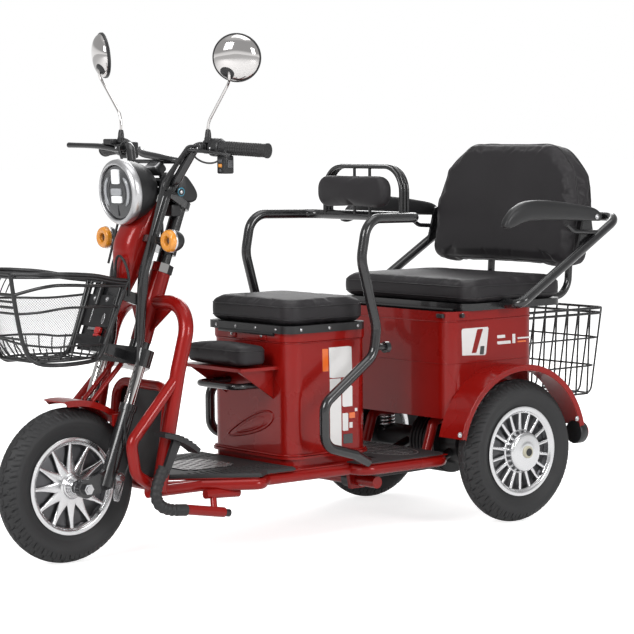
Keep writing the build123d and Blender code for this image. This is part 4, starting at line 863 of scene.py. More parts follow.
class TRIKE_OT_signals(bpy.types.Operator):
    """Make the amber turn signals and the red tail lamps"""

    bl_idname = "trike.signals"
    bl_label = "Signals"

    def execute(self, context):
        parts = []
        for side in (1, -1):
            middle = (side * 133, 202, 751)
            turn = turns(96)[None]
            lens = evenly(softened([
                (14, 10), (3, 10), (0, 12), (-1, 20), (1, 24), (6, 26.2), (14, 26.6),
            ], 2), 30)
            ribs = 0.5 * np.cos(turn * 24) * np.clip((lens[:, 1:] - 9) / 4, 0, 1)
            parts.append((*lens_skin(middle, lens[:, 1:] + ribs * 0.5, lens[:, :1] + ribs * 0.6, turn), 0))
            shell = [(13, 4), (13.2, 27), (17, 27), (26, 26), (36, 22), (44, 15), (48.5, 7), (50, 0.05)]
            parts.append((*spun(softened(shell, 2), middle, (0, 1, 0), 48), 1))
            band = [(12, 25), (12, 27), (13, 27.6), (16, 27.6), (17, 27), (17, 25)]
            parts.append((*spun(band, middle, (0, 1, 0), 64, True), 2))
            core = [(8, 0.05), (8.5, 6), (10, 9.9), (12.6, 9.9), (13, 0.05)]
            parts.append((*spun(core, middle, (0, 1, 0), 32), 3))
            stem = [(side * 64, 224, 751), (side * 118, 224, 751)]
            parts.append((*tube(evenly(stem, 12), [8, 8, *[7.4, 8] * 4, 8, 8], 20), 1))
        make(
            "turn_signal_pair", parts, ["amber_lens", "black_plastic", "alloy", "lamp_dark"], "steering",
            ["turn_signals"], 40,
        )
        parts = []
        for side in (1, -1):
            middle = (side * 292, 1387, 212)
            case = [(0, 2), (0, 29), (2, 30), (24, 30), (26, 28.5), (26, 2)]
            parts.append((*spun(case, middle, (0, 1, 0), 56), 1))
            turn = turns(80)[None]
            lens = evenly(softened([(24, 27), (30, 26), (35, 22), (37.5, 14), (38, 0.05)], 2), 26)
            ribs = 0.35 * np.cos(lens[:, 1:] * 1.5)
            parts.append((*lens_skin(middle, lens[:, 1:], lens[:, :1] + ribs, turn), 0))
        make(
            "tail_lamp_pair", parts, ["red_lens", "black_plastic"], "frame", ["tail_lamps"], 40,
        )
        return {"FINISHED"}


BAR_CORNER = np.array([135.0, -96.0, 1001.0])
BAR_END = np.array([328.0, -35.0, 1012.0])
MIRROR_R = 54.4
MIRROR_DEEP = 27


def bar_way(side):
    """The direction out along the hand's part of the bar."""
    return unit(fork(BAR_END * [side, 1, 1]) - fork(BAR_CORNER * [side, 1, 1]))


def on_bar(side, along):
    """A station point on the hand's part of the bar, that far out from its upper bend."""
    return fork(BAR_CORNER * [side, 1, 1]) + bar_way(side) * along


class TRIKE_OT_hand_controls(bpy.types.Operator):
    """Make the ribbed grips with their collars, and the mirrors"""

    bl_idname = "trike.hand_controls"
    bl_label = "Hand controls"

    def execute(self, context):
        parts = []
        for side in (1, -1):
            axis = bar_way(side)
            up = unit(np.cross(axis, [0, 1, 0]))
            over = np.cross(up, axis)
            along = np.linspace(0, 1, 150)[:, None]
            turn = turns(72)[None]
            shape = 16.0 - 0.9 * np.sin(pi * along) + 1.6 * (along > 0.97) + 1.4 * (along < 0.03)
            weave = np.cos(along * 60 + turn * 5) * np.cos(along * 60 - turn * 5)
            inside = np.clip(np.minimum(along - 0.1, 0.86 - along) * 30, 0, 1)
            radius = (shape + 0.75 * np.clip(weave * 2.5, -1, 1) * inside)[..., None]
            ray = np.cos(turn)[..., None] * up + np.sin(turn)[..., None] * over
            parts.append(closed(on_bar(side, 76) + 129.5 * along[..., None] * axis + radius * ray))
            collar = [(0, 12), (0, 18), (2, 19.5), (13, 19.5), (15, 18), (15, 12)]
            parts.append((*spun(collar, on_bar(side, 60), axis, 40), 1))
        make("grip_pair", parts, ["black_rubber", "black_plastic"], "steering", ["grips"], 45)
        parts = []
        for side, spot, outward, ends in (
            (1, (270, 312, 1175), (0.7, -0.7, -0.1), [(178, 294, 1024), (250, 302, 1116)]),
            (-1, (-270, 312, 1194), (-0.35, -0.93, -0.1), [(-178, 296, 1044), (-262, 294, 1138)]),
        ):
            foot = fork((side * 178, -96, 1012))
            boot = [(0, 2), (0, 10.5), (5, 10.5), (6, 9), (11, 9), (12, 7.8), (22, 7), (30, 5.4), (31, 4)]
            parts.append((*spun(boot, foot - [0, 0, 2], (0, 0.02, 1), 28), 0))
            outward = unit(outward)
            spot = np.array(spot, float)
            sine = np.linspace(0, pi / 2, 26)
            dome = np.stack([2 + MIRROR_DEEP * np.sin(sine), MIRROR_R * np.cos(sine) ** 0.9 + 0.05], -1)
            parts.append((*spun(dome, spot, outward, 96), 1))
            trim = [(-2.2, 51), (-2.6, 54), (-1, 56.4), (4, 56.8), (6.4, 55.6), (6, 53.6), (0, 51.2)]
            parts.append((*spun(trim, spot, outward, 96, True), 0))
            glass = [(-1.8, 0.05), (-1.6, 20), (-1.1, 40), (-0.9, 52)]
            parts.append((*spun(glass, spot, outward, 64), 1))
            across = unit(np.cross(outward, [0, 0, 1])) * side
            above = np.cross(across, outward) * side
            share = np.linspace(1, 0.02, 9)[:, None]
            turn = turns(40)[None]
            a = 21 + 21 * share * np.cos(turn) - 6 * share * np.sin(turn)
            b = -33 + 15 * share * np.sin(turn) + 9 * share * np.cos(turn)
            bulge = np.sqrt(np.clip(1 - (a**2 + b**2) / MIRROR_R**2, 0.02, 1))
            out = 2 + MIRROR_DEEP * bulge + 2.6 - 4.2 * share**3
            socket = spot + a[..., None] * across + b[..., None] * above + out[..., None] * outward
            parts.append((*closed(socket), 0))
            end = spot + 16 * across - 34 * above + 22 * outward
            low, high = np.array(ends)
            stem = [
                foot + [0, 0, 6], low, low * 0.7 + high * 0.3, low * 0.3 + high * 0.7, high,
                end - 14 * above, end + 10 * above,
            ]
            parts.append((*cord(stem, 80, 3.4, 14, (0, 1, 0.2)), 1))
        make("mirror_pair", parts, ["black_plastic", "chrome"], "steering", ["mirrors"], 40)
        return {"FINISHED"}


def lever(points, radii, flat=0.62):
    """A hand lever: a bar along a bent path, lower than it is deep, ending in a ball."""
    path = evenly(softened(points), 60)
    radius = np.interp(np.linspace(0, 1, 60), np.linspace(0, 1, len(radii)), radii)
    rows, faces = tube(path, radius, 16, (0, 0, 1))
    middle = np.repeat(np.concatenate([path[:1], path, path[-1:]]), 16, 0)
    rows[:, 2] = middle[:, 2] + (rows[:, 2] - middle[:, 2]) * flat
    return rows, faces


def on_wall(x, flat):
    """A plane outline, in distance and height, stood on a side wall at x."""
    return np.concatenate([np.full((len(flat), 1), float(x)), flat], 1)


LEAD = np.array([[1, 0, 0], [0, 0.8, 0.6], [0, -0.6, 0.8]])  # the dial's own axes
PEDAL_X = 191


class TRIKE_OT_switches(bpy.types.Operator):
    """Make the levers, throttle and switch housings, the dial and the ignition lock"""

    bl_idname = "trike.switches"
    bl_label = "Switches"

    def execute(self, context):
        parts = []
        barrel = [
            (0, 5), (0, 18), (2.5, 21), (9, 21.6), (10, 20.6), (11, 21.6), (25, 21.6), (28, 18), (28, 5),
        ]
        clamp = [(0, 5), (0, 15), (1.5, 16.5), (12.5, 16.5), (14, 15), (14, 5)]
        for side in (1, -1):
            parts += [
                spun(barrel, on_bar(side, 46), bar_way(side), 48),
                spun(clamp, on_bar(side, 26), bar_way(side), 36),
                slab(on_bar(side, 33) + [0, -18, -3], (9, 12, 8), 4, 2),
                (*bolt(on_bar(side, 33) + [0, -29, -3], (0, -1, 0), 3.2, 2), 1),
                (*bolt(on_bar(side, 60) + [0, -21, -2], (0, -1, 0), 3.2, 2), 1),
            ]
        near = [(150, 263, 962), (176, 276, 960), (200, 283, 958), (246, 276, 955), (290, 268, 951.5)]
        far = [(-168, 290, 962), (-185, 287, 963), (-215, 274, 968), (-240, 266, 971), (-330, 243, 973)]
        hook = [(156, 268, 958), (160, 267, 946), (185, 274, 933), (208, 285, 931), (218, 296, 938)]
        brace = [(-86, 288, 962), (-60, 270, 953), (-5, 271, 947), (45, 275, 940), (76, 292, 934)]
        parts += [
            (*lever(near, [8, 7.6, 6.6, 5.4, 4.8, 4.4, 6.4]), 4),
            (*lever(far, [9, 9, 9, 8.4, 8, 8, 8.4], 0.8), 4),
            (*cord(brace, 50, 8.6, 18, (0, 1, 0)), 4),
            cord(hook, 50, 2.2, 10),
            cord([(0, 300, 880), (0, 290, 900), (0, 280, 912)], 14, 8, 16),
        ]
        for middle, half, corner, edge, axes, colour in (
            ((-180, 322, 960), (17, 17, 20), 8, 4, LEVEL, 0),
            ((-200, 279, 981), (18, 12, 7), 5, 3, LEVEL, 0),
            ((225, 309, 928), (17, 14, 21), 6, 3.5, LEVEL, 0),
            ((222, 313, 953), (11, 11, 10), 4, 2, LEVEL, 0),
            ((224, 295, 937), (7, 2, 4), 1.8, 1, LEVEL, 2),
            ((224, 295, 926), (6, 2, 4), 1.8, 1, LEVEL, 5),
            ((224, 295, 915), (4, 2, 3), 1.8, 1, LEVEL, 2),
            ((243, 309, 930), (2, 7, 9), 1.8, 1, LEVEL, 2),
            ((16, 306, 818), (17, 15, 15), 5, 3, LEVEL, 0),
            ((16, 312, 836), (11, 10, 8), 4, 2, LEVEL, 0),
            ((0, 270, 917), (26, 15, 12), 9, 5, LEAD, 0),
            ((0, 264, 926), (23, 12.5, 4), 7, 2.5, LEAD, 6),
            ((0, 262, 930), (16, 8, 1.8), 4, 1, LEAD, 7),
        ):
            parts.append((*slab(middle, half, corner, edge, axes=axes), colour))
        loop = evenly(softened([
            (318, 893), (332, 904), (346, 900), (372, 868), (378, 848), (368, 834), (344, 833), (322, 838),
            (308, 848), (306, 864),
        ], 2, True), 72, True)
        way = unit(loop - loop.mean(0))
        steps = ((-26, 9), (-25, 5), (-22, 2), (-16, 0), (18, 0), (25, 2), (29, 5), (30.5, 9))
        parts.append(closed(np.stack([on_wall(x, loop - inset * way) for x, inset in steps])))
        for height, size, colour in ((2, 12, 0), (3.4, 10.5, 3), (4.2, 8.0, 0), (5.6, 4.5, 1)):
            ring = [(-2, 1), (-2, size), (height + 0.6, size), (height + 1.4, size - 1), (height + 1.5, 0.05)]
            parts.append((*spun(ring, (29, 321, 861), (1, 0, 0), 40), colour))
        finishes = [
            "black_plastic", "steel", "grey_plastic", "key_blue", "black_gloss", "amber_lens", "brushed",
            "lamp_dark",
        ]
        make("switch_set", parts, finishes, "steering", ["controls"], 40)
        return {"FINISHED"}


class TRIKE_OT_pedal(bpy.types.Operator):
    """Make the pleated boot under the brake pedal and the pedal's ribbed pad"""

    bl_idname = "trike.pedal"
    bl_label = "Pedal"

    def execute(self, context):
        path = evenly(softened([
            (146, 230), (130, 200), (121, 172), (128, 145), (156, 129), (207, 124),
        ]), 140)
        along = np.linspace(0, 1, 140)
        fold = np.abs((along * 13) % 1 - 0.5) * 2
        plain = np.clip((along - 0.84) * 40, 0, 1)
        radius = (12.6 + 2.0 * fold) * (1 - plain) + 14.0 * plain
        parts = [tube(on_wall(PEDAL_X, path), radius, 32, (1, 0, 0))]
        make("pedal_bellows", parts, ["black_rubber"], "frame", ["pedal_boot"], 30)
        tread = evenly(softened([(137, 313), (165, 307), (190, 299), (214, 286), (236, 269)]), 9)
        parts = []
        for number, (at, height) in enumerate(tread[1:-1]):
            run, rise = tread[number + 2] - tread[number]
            tilt = np.arctan2(rise, run)
            axes = [[1, 0, 0], [0, cos(tilt), sin(tilt)], [0, -sin(tilt), cos(tilt)]]
            parts.append(slab((PEDAL_X, at, height + 0.4), (19, 3, 1.6), 1.5, 1, 3, 3, axes))
        make("pedal_tread", parts, ["black_rubber"], "frame", (), 50)
        return {"FINISHED"}


MAT_LOW = 184.6
FRONT_MAT = (222, 538)                                   # its ends
FRONT_EDGE = ([222, 410, 450, 538], [90, 221, 190, 190])  # its half width at these distances
REAR_MAT = (231.2, 812.6, 34)                            # half width, where it forks, and its corners


def relief(left, right, at, low, height, columns):
    """A mat: for each distance at[i] its upper face is height(x, at) from left[i] to right[i], in
    that many columns, and it is closed below at the low level."""
    x = left[:, None] + (right - left)[:, None] * np.linspace(0, 1, columns)[None]
    s = np.broadcast_to(at[:, None], x.shape)
    top = np.stack([x, s, height(x, s)], -1)
    under = np.stack([x, s, np.full(x.shape, float(low))], -1)[:, [-1, 0]]
    return closed(np.concatenate([top, under], 1))


def front_relief(x, s):
    """The front mat's height: slots that slant on both sides of its inlay, and a raised rim."""
    wide = np.interp(s, *FRONT_EDGE)
    near, far = FRONT_MAT
    inside = np.minimum(np.minimum(x + wide, wide - x), np.minimum(s - near, far - s))
    rim = np.clip(inside / 5, 0, 1)
    row = np.abs((s * 0.96 + 0.10 * np.abs(x)) / 17 % 1 - 0.5) * 17
    outer = np.clip((np.abs(x) - 96) / 2, 0, 1) * np.clip((wide - 16 - np.abs(x)) / 2, 0, 1)
    reach = np.clip((s - 236) / 3, 0, 1) * np.clip((526 - s) / 3, 0, 1)
    slots = np.clip((3.6 - row) / 1.2, 0, 1) * outer * reach
    band = np.exp(-((wide - 9 - np.abs(x)) / 3.0) ** 2)
    return 188.5 + 4.6 * np.sqrt(rim) - 3.0 * slots + 1.0 * band * rim


def inlay_relief(x, s):
    """The front mat's metal inlay: a plate with staggered round holes."""
    line = np.floor(s / 19)
    across = (x + 13 * (line % 2)) / 26 % 1 - 0.5
    down = s / 19 % 1 - 0.5
    return 195.6 - 3.2 * np.clip((0.30 - np.hypot(across * 0.86, down)) * 14, 0, 1)


def rear_relief(x, s):
    """The rear mat's height: ribs and a cross inside an oval ring."""
    rim = np.clip(np.minimum(231.5 - np.abs(x), 1002 - s) / 4, 0, 1)
    oval = np.hypot(x / 196, (s - 912) / 78)
    rib = np.abs(x / 14 % 1 - 0.5) * 14
    field = np.clip((0.94 - oval) * 30, 0, 1)
    ring = np.clip(1 - np.abs(oval - 1.0) * 28, 0, 1)
    cross = np.clip((3.2 - np.abs(s - 912)) / 1.2, 0, 1)
    pattern = np.maximum(np.clip((2.6 - rib) / 0.9, 0, 1) * field, np.maximum(ring, cross * field))
    return 186.2 + 1.8 * np.sqrt(rim) + 2.2 * pattern


class TRIKE_OT_mats(bpy.types.Operator):
    """Make the front and rear foot mats with their ribs, slots and metal inlays"""

    bl_idname = "trike.mats"
    bl_label = "Mats"

    def execute(self, context):
        at = np.linspace(223, 537.5, 210)
        half = np.interp(at, *FRONT_EDGE)
        half = np.minimum(half, 90 + np.sqrt(np.clip((at - 216) * 40, 0, None)) + (at - 222) * 0.6)
        groups = [relief(-half, half, at, MAT_LOW, front_relief, 300)]
        at = np.linspace(300, 452, 150)
        half = np.interp(at, [300, 326, 426, 452], [54, 78, 78, 54])
        points, faces = relief(-half, half, at, 190.0, inlay_relief, 170)
        low = points[faces].mean(1)[:, 2] < 194.2
        groups += [(points, faces[~low], 1), (points, faces[low], 0)]
        groups += [
            (*bolt((x, s, 194.6), (0, 0, 1), 3.4, 2), 1) for x in (-46, 46) for s in (312, 440)
        ]
        finishes = ["mat_rubber", "relief_metal"]
        make("front_foot_mat", groups, finishes, "frame", ["front_mat"], 32)
        wide, waist, corner = REAR_MAT
        at = np.linspace(waist, 1001.5, 170)
        half = wide - corner + np.sqrt(np.clip(corner**2 - np.clip(at - 968, 0, corner) ** 2, 0, None))
        points, faces = relief(-half, half, at, MAT_LOW, rear_relief, 420)
        crest = points[faces][..., 2].min(1) > 189.2
        groups = [(points, faces[~crest], 0), (points, faces[crest], 1)]
        at = np.linspace(714.5, waist, 90)
        outer = wide - corner + np.sqrt(np.clip(corner**2 - np.clip(748 - at, 0, corner) ** 2, 0, None))
        inner = np.full(len(at), 172.6)
        for left, right in ((inner, outer), (-outer, -inner)):
            groups.append(relief(left, right, at, MAT_LOW, rear_relief, 40))
        make("rear_foot_mat", groups, finishes, "frame", ["rear_mat"], 32)
        return {"FINISHED"}


FRONT_WALL, REAR_WALL = 160.2, 235.2     # x of the boxes' side walls
SEAT_BOX = (160, 127.5, 40, 672.5)       # half width, half length, corners and middle
REAR_BOX = (235.4, 153.4, 40, 1153)
BADGE_TILT = radians(19)
FENDER_X = 321.5


def sticker(corners, count, x, thick, soft=1.0):
    """A flat sticker on a side wall: its outline, in distance and height, with a thin raised body."""
    outline = evenly(corners, count, True)
    way = unit(outline - outline.mean(0))
    rows = ((0, -0.2), (0, thick * 0.7), (soft * 0.4, thick), (soft, thick))
    return closed(np.stack([on_wall(x + out, outline - inset * way) for inset, out in rows]))


def oblong(s0, s1, z0, z1, slope=0.0):
    """Corners of a sticker's bar, leaning by slope."""
    return [(s0 + slope, z1), (s1 + slope, z1), (s1, z0), (s0, z0)]


def on_badge(x, y, z):
    """Points of the oval on the front box, turned up by its slope."""
    tilted = x * cos(BADGE_TILT) - z * sin(BADGE_TILT) + 4
    return np.stack([tilted, np.full_like(x, y), x * sin(BADGE_TILT) + z * cos(BADGE_TILT) + 278], -1)


def bead(box, out, height, thick, count, sides):
    """A raised line round a box at one height."""
    half_x, half_y, corner, at = box
    ring = round_corners(half_x + out, half_y + out, corner + out, 14)
    return tube(evenly(raised(ring, height) + [0, at, 0], count, True), thick, sides, (0, 0, 1), True)


def both_sides(shape):
    """The parts that a function of the side makes on the left and on the right."""
    return [part for side in (1, -1) for part in shape(side)]


class TRIKE_OT_box_details(bpy.types.Operator):
    """Make the boxes' stickers, seams, relief, bolts and latches"""

    bl_idname = "trike.box_details"
    bl_label = "Box details"

    def execute(self, context):
        parts = []
        for side in (1, -1):
            wall, thick = side * FRONT_WALL, 0.35 * side
            for corners, colour in (
                (oblong(672, 744, 396, 472, -2), 0), (oblong(672, 708, 224, 394), 0),
                (oblong(650, 668, 414, 470, -1), 1), (oblong(712, 744, 322, 374), 0),
                (oblong(712, 730, 262, 306), 0), (oblong(734, 752, 292, 306), 1),
                (oblong(734, 744, 268, 282), 0), (oblong(714, 744, 230, 254), 2),
                (oblong(752, 760, 308, 316), 0),
            ):
                parts.append((*sticker(corners, 24, wall, thick), colour))
            wall = side * REAR_WALL
            over = wall + 0.4 * side
            for corners, count, x, colour in (
                ([(1046, 432), (1128, 428), (1138, 500), (1044, 500)], 40, wall, 0),
                ([(1078, 436), (1094, 436), (1118, 496), (1098, 496)], 40, over, 3),
                ([(1106, 431), (1120, 430), (1123, 452), (1109, 452)], 24, over, 2),
                (oblong(1168, 1196, 468, 476), 20, wall, 0), (oblong(1168, 1216, 452, 460), 20, wall, 0),
                (oblong(1222, 1232, 452, 476), 20, wall, 0), (oblong(1240, 1288, 462, 466), 20, wall, 0),
                (oblong(1240, 1270, 453, 457), 20, wall, 1),
            ):
                parts.append((*sticker(corners, count, x, thick), colour))
        make(
            "box_stickers", parts, ["sticker_white", "sticker_accent", "sticker_black", "red_gloss"],
            "frame", (), 50,
        )
        turn = turns(90)
        parts = []
        for scale, thick in ((1.0, 3.2), (0.62, 2.4)):
            bend = 4 * scale * np.sin(2 * turn)
            loop = on_badge(96 * scale * np.cos(turn), 545.8, 20 * scale * np.sin(turn) + bend)
            parts.append(tube(loop, thick, 12, (0, 1, 0), True))
        swell = [
            on_badge(
                92 * share * np.cos(turn), 545.3 - 2.6 * (1 - share**2),
                17 * share * np.sin(turn) + 4 * share * np.sin(2 * turn),
            ) for share in np.linspace(1, 0.05, 8)
        ]
        parts += [
            closed(np.stack(swell)), bead(SEAT_BOX, 0.6, 489.5, 2.0, 160, 10),
            bead(SEAT_BOX, 5.2, 213.5, 2.4, 160, 10),
        ]
        make("front_box_relief", parts, ["red_gloss"], "frame", (), 50)
        parts = [bead(REAR_BOX, 0, 519, 1.7, 180, 8), bead(REAR_BOX, 0, 412, 0.9, 180, 8)]
        parts += both_sides(lambda side: [
            (*slab((side * 206, 998, 534), (12, 5, 5), 3, 1.5), 1),
            (*slab((side * 236, 1040, 534), (12, 5, 5), 3, 1.5), 1),
            (*bolt((side * 237.5, 1046, 536), (side, 0, 0), 3.4, 2.4), 2),
        ])
        make("rear_box_trim", parts, ["red_gloss", "black_satin", "steel"], "frame", (), 50)
        lip = np.linspace(radians(13), radians(167), 90)
        parts = both_sides(lambda side: [
            (*bolt((side * 323, 956, 246), (side, 0, 0), 5.2, 4), 0),
            (*bolt((side * 323, 1369, 252), (side, 0, 0), 5.2, 4), 0),
            *((*tube(np.stack([
                np.full(90, side * FENDER_X), REAR_AXLE + radius * np.cos(lip), AXLE_Z + radius * np.sin(lip),
            ], -1), thick, 10, (1, 0, 0)), 1) for radius, thick in ((220.4, 2.2), (208.6, 2.0))),
        ])
        make("fender_trim", parts, ["steel", "red_gloss"], "frame", (), 50)
        parts = [bolt((x, 535.6, 522), (0, -1, 0), 3.0, 2.2) for x in (-120, -40, 40, 120)]
        parts += both_sides(lambda side: [
            bolt((side * 169.4, at, 522), (side, 0, 0), 3.0, 2.2) for at in (576, 665, 756)
        ])
        make("driver_pan_bolts", parts, ["steel"], "driver_seat", (), 50)
        parts = both_sides(lambda side: [
            slab((side * 60, 541, 502), (16, 3, 9), 2, 1),
            (*bolt((side * 60, 537.6, 503), (0, -1, 0), 3.4, 2.4), 1),
        ])
        make("front_box_catches", parts, ["red_gloss", "steel"], "frame", (), 50)
        return {"FINISHED"}


# ------------------------------------------------------------------ baskets, springs and cables
BASKET_BEND = softened(np.eye(3), 4)


def basket_wall(t, height, side, inset=0.0):
    """Points of the front basket's side wall. In plan it bends past three corners that spread apart
    with the height; t runs from the back corner to the front one in equal steps of its length."""
    t, height = np.broadcast_arrays(np.asarray(t, float), height)
    share = (height - 480) / 210
    back_at = 30 + (-135.4 + height * sin(LEAN)) / cos(LEAN)
    x = np.stack([64 + 18 * share - inset, 104 + 48 * share - inset, 62 + 0 * share], -1)
    y = np.stack([back_at - 4, -70 - 34 * share, -122 - 58 * np.clip(share, 0, 2) ** 0.5 + inset], -1)
    middle = BASKET_BEND @ np.array([[73, 97], [128, -87], [62, -157]])
    run = np.concatenate([[0], np.cumsum(np.linalg.norm(np.diff(middle, axis=0), axis=1))])
    weight = np.stack([np.interp(t, run / run[-1], BASKET_BEND[:, k]) for k in range(3)], -1)
    return np.stack([side * (weight * x).sum(-1), (weight * y).sum(-1), height], -1)


def basket_rail(heights, side, count=90):
    """A rail along a side wall, its heights given at equal steps from the back to the front."""
    t = np.linspace(0, 1, count)
    knots = softened(np.stack([np.linspace(0, 1, len(heights)), heights], -1), 2)
    return basket_wall(t, np.interp(t, knots[:, 0], knots[:, 1]), side)


class TRIKE_OT_front_basket(bpy.types.Operator):
    """Make the front basket: rims, rails, hoops, wires, its mesh, its plate's bolts and reflector"""

    bl_idname = "trike.front_basket"
    bl_label = "Front basket"

    def execute(self, context):
        wires = context.scene.trike_wires
        parts = []
        rim = np.array([660, 664, 669, 676, 681, 684, 687, 688, 688, 688, 688])
        for heights, radius in ((rim, 4.6), (rim - 7, 3.8), (0 * rim + 486, 2.8)):
            ring = np.concatenate([basket_rail(heights, 1), basket_rail(heights, -1)[::-1]])
            parts.append(tube(evenly(softened(ring, 1, True), 240, True), radius, 12, (0, 0, 1), True))
        rails = (
            (1, [648, 650, 652, 654, 656, 659, 661, 662, 657, 649, 640], 640, 4.1),
            (1, [601, 602, 604, 605, 607, 608, 609, 606, 601, 598, 597], 597, 3.0),
            (1, [513, 514, 515, 516, 518, 519, 519, 518, 520, 523, 526], 538, 2.6),
            (-1, [621, 619, 617, 616, 617, 619, 620, 622, 623, 624, 624], 624, 3.0),
            (-1, [526, 526, 526, 530, 532, 533, 534, 534, 535, 537, 538], 538, 2.8),
        )
        for side, heights, front, radius in rails:
            over = basket_wall(1, front, -side)
            path = np.concatenate([basket_rail(heights, side), [over]])
            parts.append(tube(evenly(path, 110), radius, 10))
        parts.append(tube(evenly([basket_wall(1, 611, 1), basket_wall(1, 611, -1)], 12), 3.4, 10))
        hoop = np.array([
            (0, 660), (0, 620), (0.004, 560), (0.015, 510), (0.05, 484), (0.13, 477), (0.5, 476),
            (0.84, 477), (0.93, 480), (0.98, 493), (1, 520), (1, 600), (1, 688),
        ])
        line = softened(hoop)
        for side in (1, -1):
            parts.append(tube(evenly(basket_wall(line[:, 0], line[:, 1], side), 120), 5.0, 14, (1, 0, 0)))
        for t in (0.10, 0.24, 0.38, 0.52, 0.66, 0.80, 0.92):
            line = [
                basket_wall(t, 530, -1), basket_wall(t, 496, -1), basket_wall(t, 482, -1, 14),
                basket_wall(t, 482, 1, 14), basket_wall(t, 496, 1), basket_wall(t, 516, 1),
            ]
            parts.append(cord(line, 60, 1.9, 8, (0, 0.3, 1)))
        for x in (-52, -18, 18, 52):
            line = [(x, 30, 483), (x, -104, 481), (x, -122, 496), (x, -150, 538)]
            parts.append(cord(line, 40, 1.9, 8, times=2))
        for x in (-46, -22, 2, 26, 50):
            line = [(x + 26, -178, 686), (x, -174, 668), (x - 22, -171, 645)]
            parts.append(cord(line, 12, 1.5, 8, times=2))
        for x, low, radius in ((-62, 486, 5.0), (-16, 600, 6.5), (62, 486, 4.6)):
            foot, head = basket_wall(0, low, 1), basket_wall(0, 658, 1)
            parts.append(tube(evenly([(x, foot[1], low), (x, head[1], 658)], 16), radius, 12, (1, 0, 0)))
        make("front_basket_wires", parts, ["black_wire"], "steering", ["front_basket"], 50)
        parts = []
        length, low, high = 290.0, 492.0, 623.0
        lean = (high - low) / length
        starts = np.arange(-lean, 1, wires.pitch * 1.414 / length)
        for slope, begin in ((lean, starts), (-lean, starts + lean)):
            for start in begin:
                ends = np.sort(np.clip([(0.01 - start) / slope, (0.99 - start) / slope], 0, 1))
                if ends[1] - ends[0] < 0.03:
                    continue
                share = np.linspace(ends[0], ends[1], 9)
                top = high - 5 * np.sin(np.clip((start + slope * share) * 1.6, 0, 1) * pi)
                path = basket_wall(start + slope * share, low + (top - low) * share, -1, 2)
                parts.append(tube(path, wires.strand / 2, 4))
        make("front_basket_mesh", parts, ["mesh_metal"], "steering", (), 60)
        axes = [[1, 0, 0], [0, sin(LEAN), cos(LEAN)], [0, -cos(LEAN), sin(LEAN)]]
        parts = [
            (*slab(fork((-18, -136, 575)), (66, 39, 1.6), 4, 0.8, 5, 3, axes), 0),
            (*slab(fork((-6, -138, 502)), (52, 12, 6), 3, 1.5, 5, 3, axes), 0),
        ]
        for x, along, half_x, half_z in (
            (-27, 562, 2.0, 17), (25, 556, 2.4, 13), (25, 556, 5.5, 8), (-6, 531, 20, 3.4),
        ):
            parts.append((*slab(fork((x, -137.4, along)), (half_x, half_z, 1.0), 1, 0.5, 4, 3, axes), 1))
        for x, along in ((-31, 604), (19, 604)):
            parts.append((*bolt(fork((x, -137.5, along)), axes[2], 4.6, 4), 1))
        for along, high in ((527, 8), (513, 6)):
            parts.append((*slab(fork((20, -139, along)), (11, high, 5), 5, 2.5, 6, 4, axes), 2))
        make(
            "front_basket_fittings", parts, ["black_wire", "steel", "red_lens"], "steering", (),
            50,
        )
        return {"FINISHED"}


SPRING = (200, 1168)  # a rear spring's middle, out to its side and behind


class TRIKE_OT_springs(bpy.types.Operator):
    """Make the rear coil springs with their dampers, and the motor's ribs"""

    bl_idname = "trike.springs"
    bl_label = "Springs"

    def execute(self, context):
        parts = []
        x, at = SPRING
        turn = np.linspace(0, 2 * pi * 6, 220)
        rod = [
            (0, 1), (0, 15), (8, 16), (10, 11), (44, 10), (46, 6), (70, 6), (72, 16), (80, 16), (81.5, 1),
        ]
        for side in (1, -1):
            coil = [side * x + 19.5 * np.cos(turn), at + 19.5 * np.sin(turn), 203 + 58 * turn / turn[-1]]
            parts.append(tube(np.stack(coil, -1), 3.6, 10))
            parts.append((*spun(rod, (side * x, at, 190.4), (0, 0, 1), 36), 1))
        make("rear_springs", parts, ["steel", "black_satin"], "frame", ["shocks"], 45)
        ring = [(0, 70), (0, 80.5), (1, 81.5), (4, 81.5), (5, 80.5), (5, 70)]
        parts = [
            spun(ring, (x, REAR_AXLE, AXLE_Z), (1, 0, 0), 72, True) for x in range(-28, 51, 13)
        ]
        make("motor_ribs", parts, ["black_satin"], "frame", (), 45)
        return {"FINISHED"}


class TRIKE_OT_cables(bpy.types.Operator):
    """Make the cables and sleeves between the bar, the column and the front basket"""

    bl_idname = "trike.cables"
    bl_label = "Cables"

    def execute(self, context):
        right = [
            (-172, -104, 1000), (-140, -122, 985), (-92, -116, 930), (-72, -112, 860), (-70, -104, 700),
        ]
        left = [(150, -90, 1010), (118, -108, 976), (84, -112, 930), (74, -110, 850), (72, -104, 700)]
        sleeve = [(158, -97, 1004), (140, -112, 990), (112, -112, 968), (84, -106, 930), (72, -102, 890)]
        loop = [
            (56, -108, 622), (58, -122, 668), (44, -142, 704), (20, -146, 712), (2, -132, 690),
            (-4, -108, 640),
        ]
        ripple = 5.4 + 0.8 * np.cos(np.linspace(0, 2 * pi * 34, 120))
        parts = [cord(fork(points), count, radius, sides) for points, count, radius, sides in (
            (right, 60, 3.0, 12), (left, 60, 3.6, 12),
            ([(-20, -66, 866), (-26, -40, 800), (-22, -30, 760)], 60, 4.5, 12),
            ([(20, -70, 866), (27, -44, 800), (23, -32, 760)], 60, 4.0, 12),
            (sleeve, 120, ripple, 16), (loop, 70, 3.2, 12),
        )]
        make("cable_runs", parts, ["black_rubber"], "steering", (), 60)
        return {"FINISHED"}


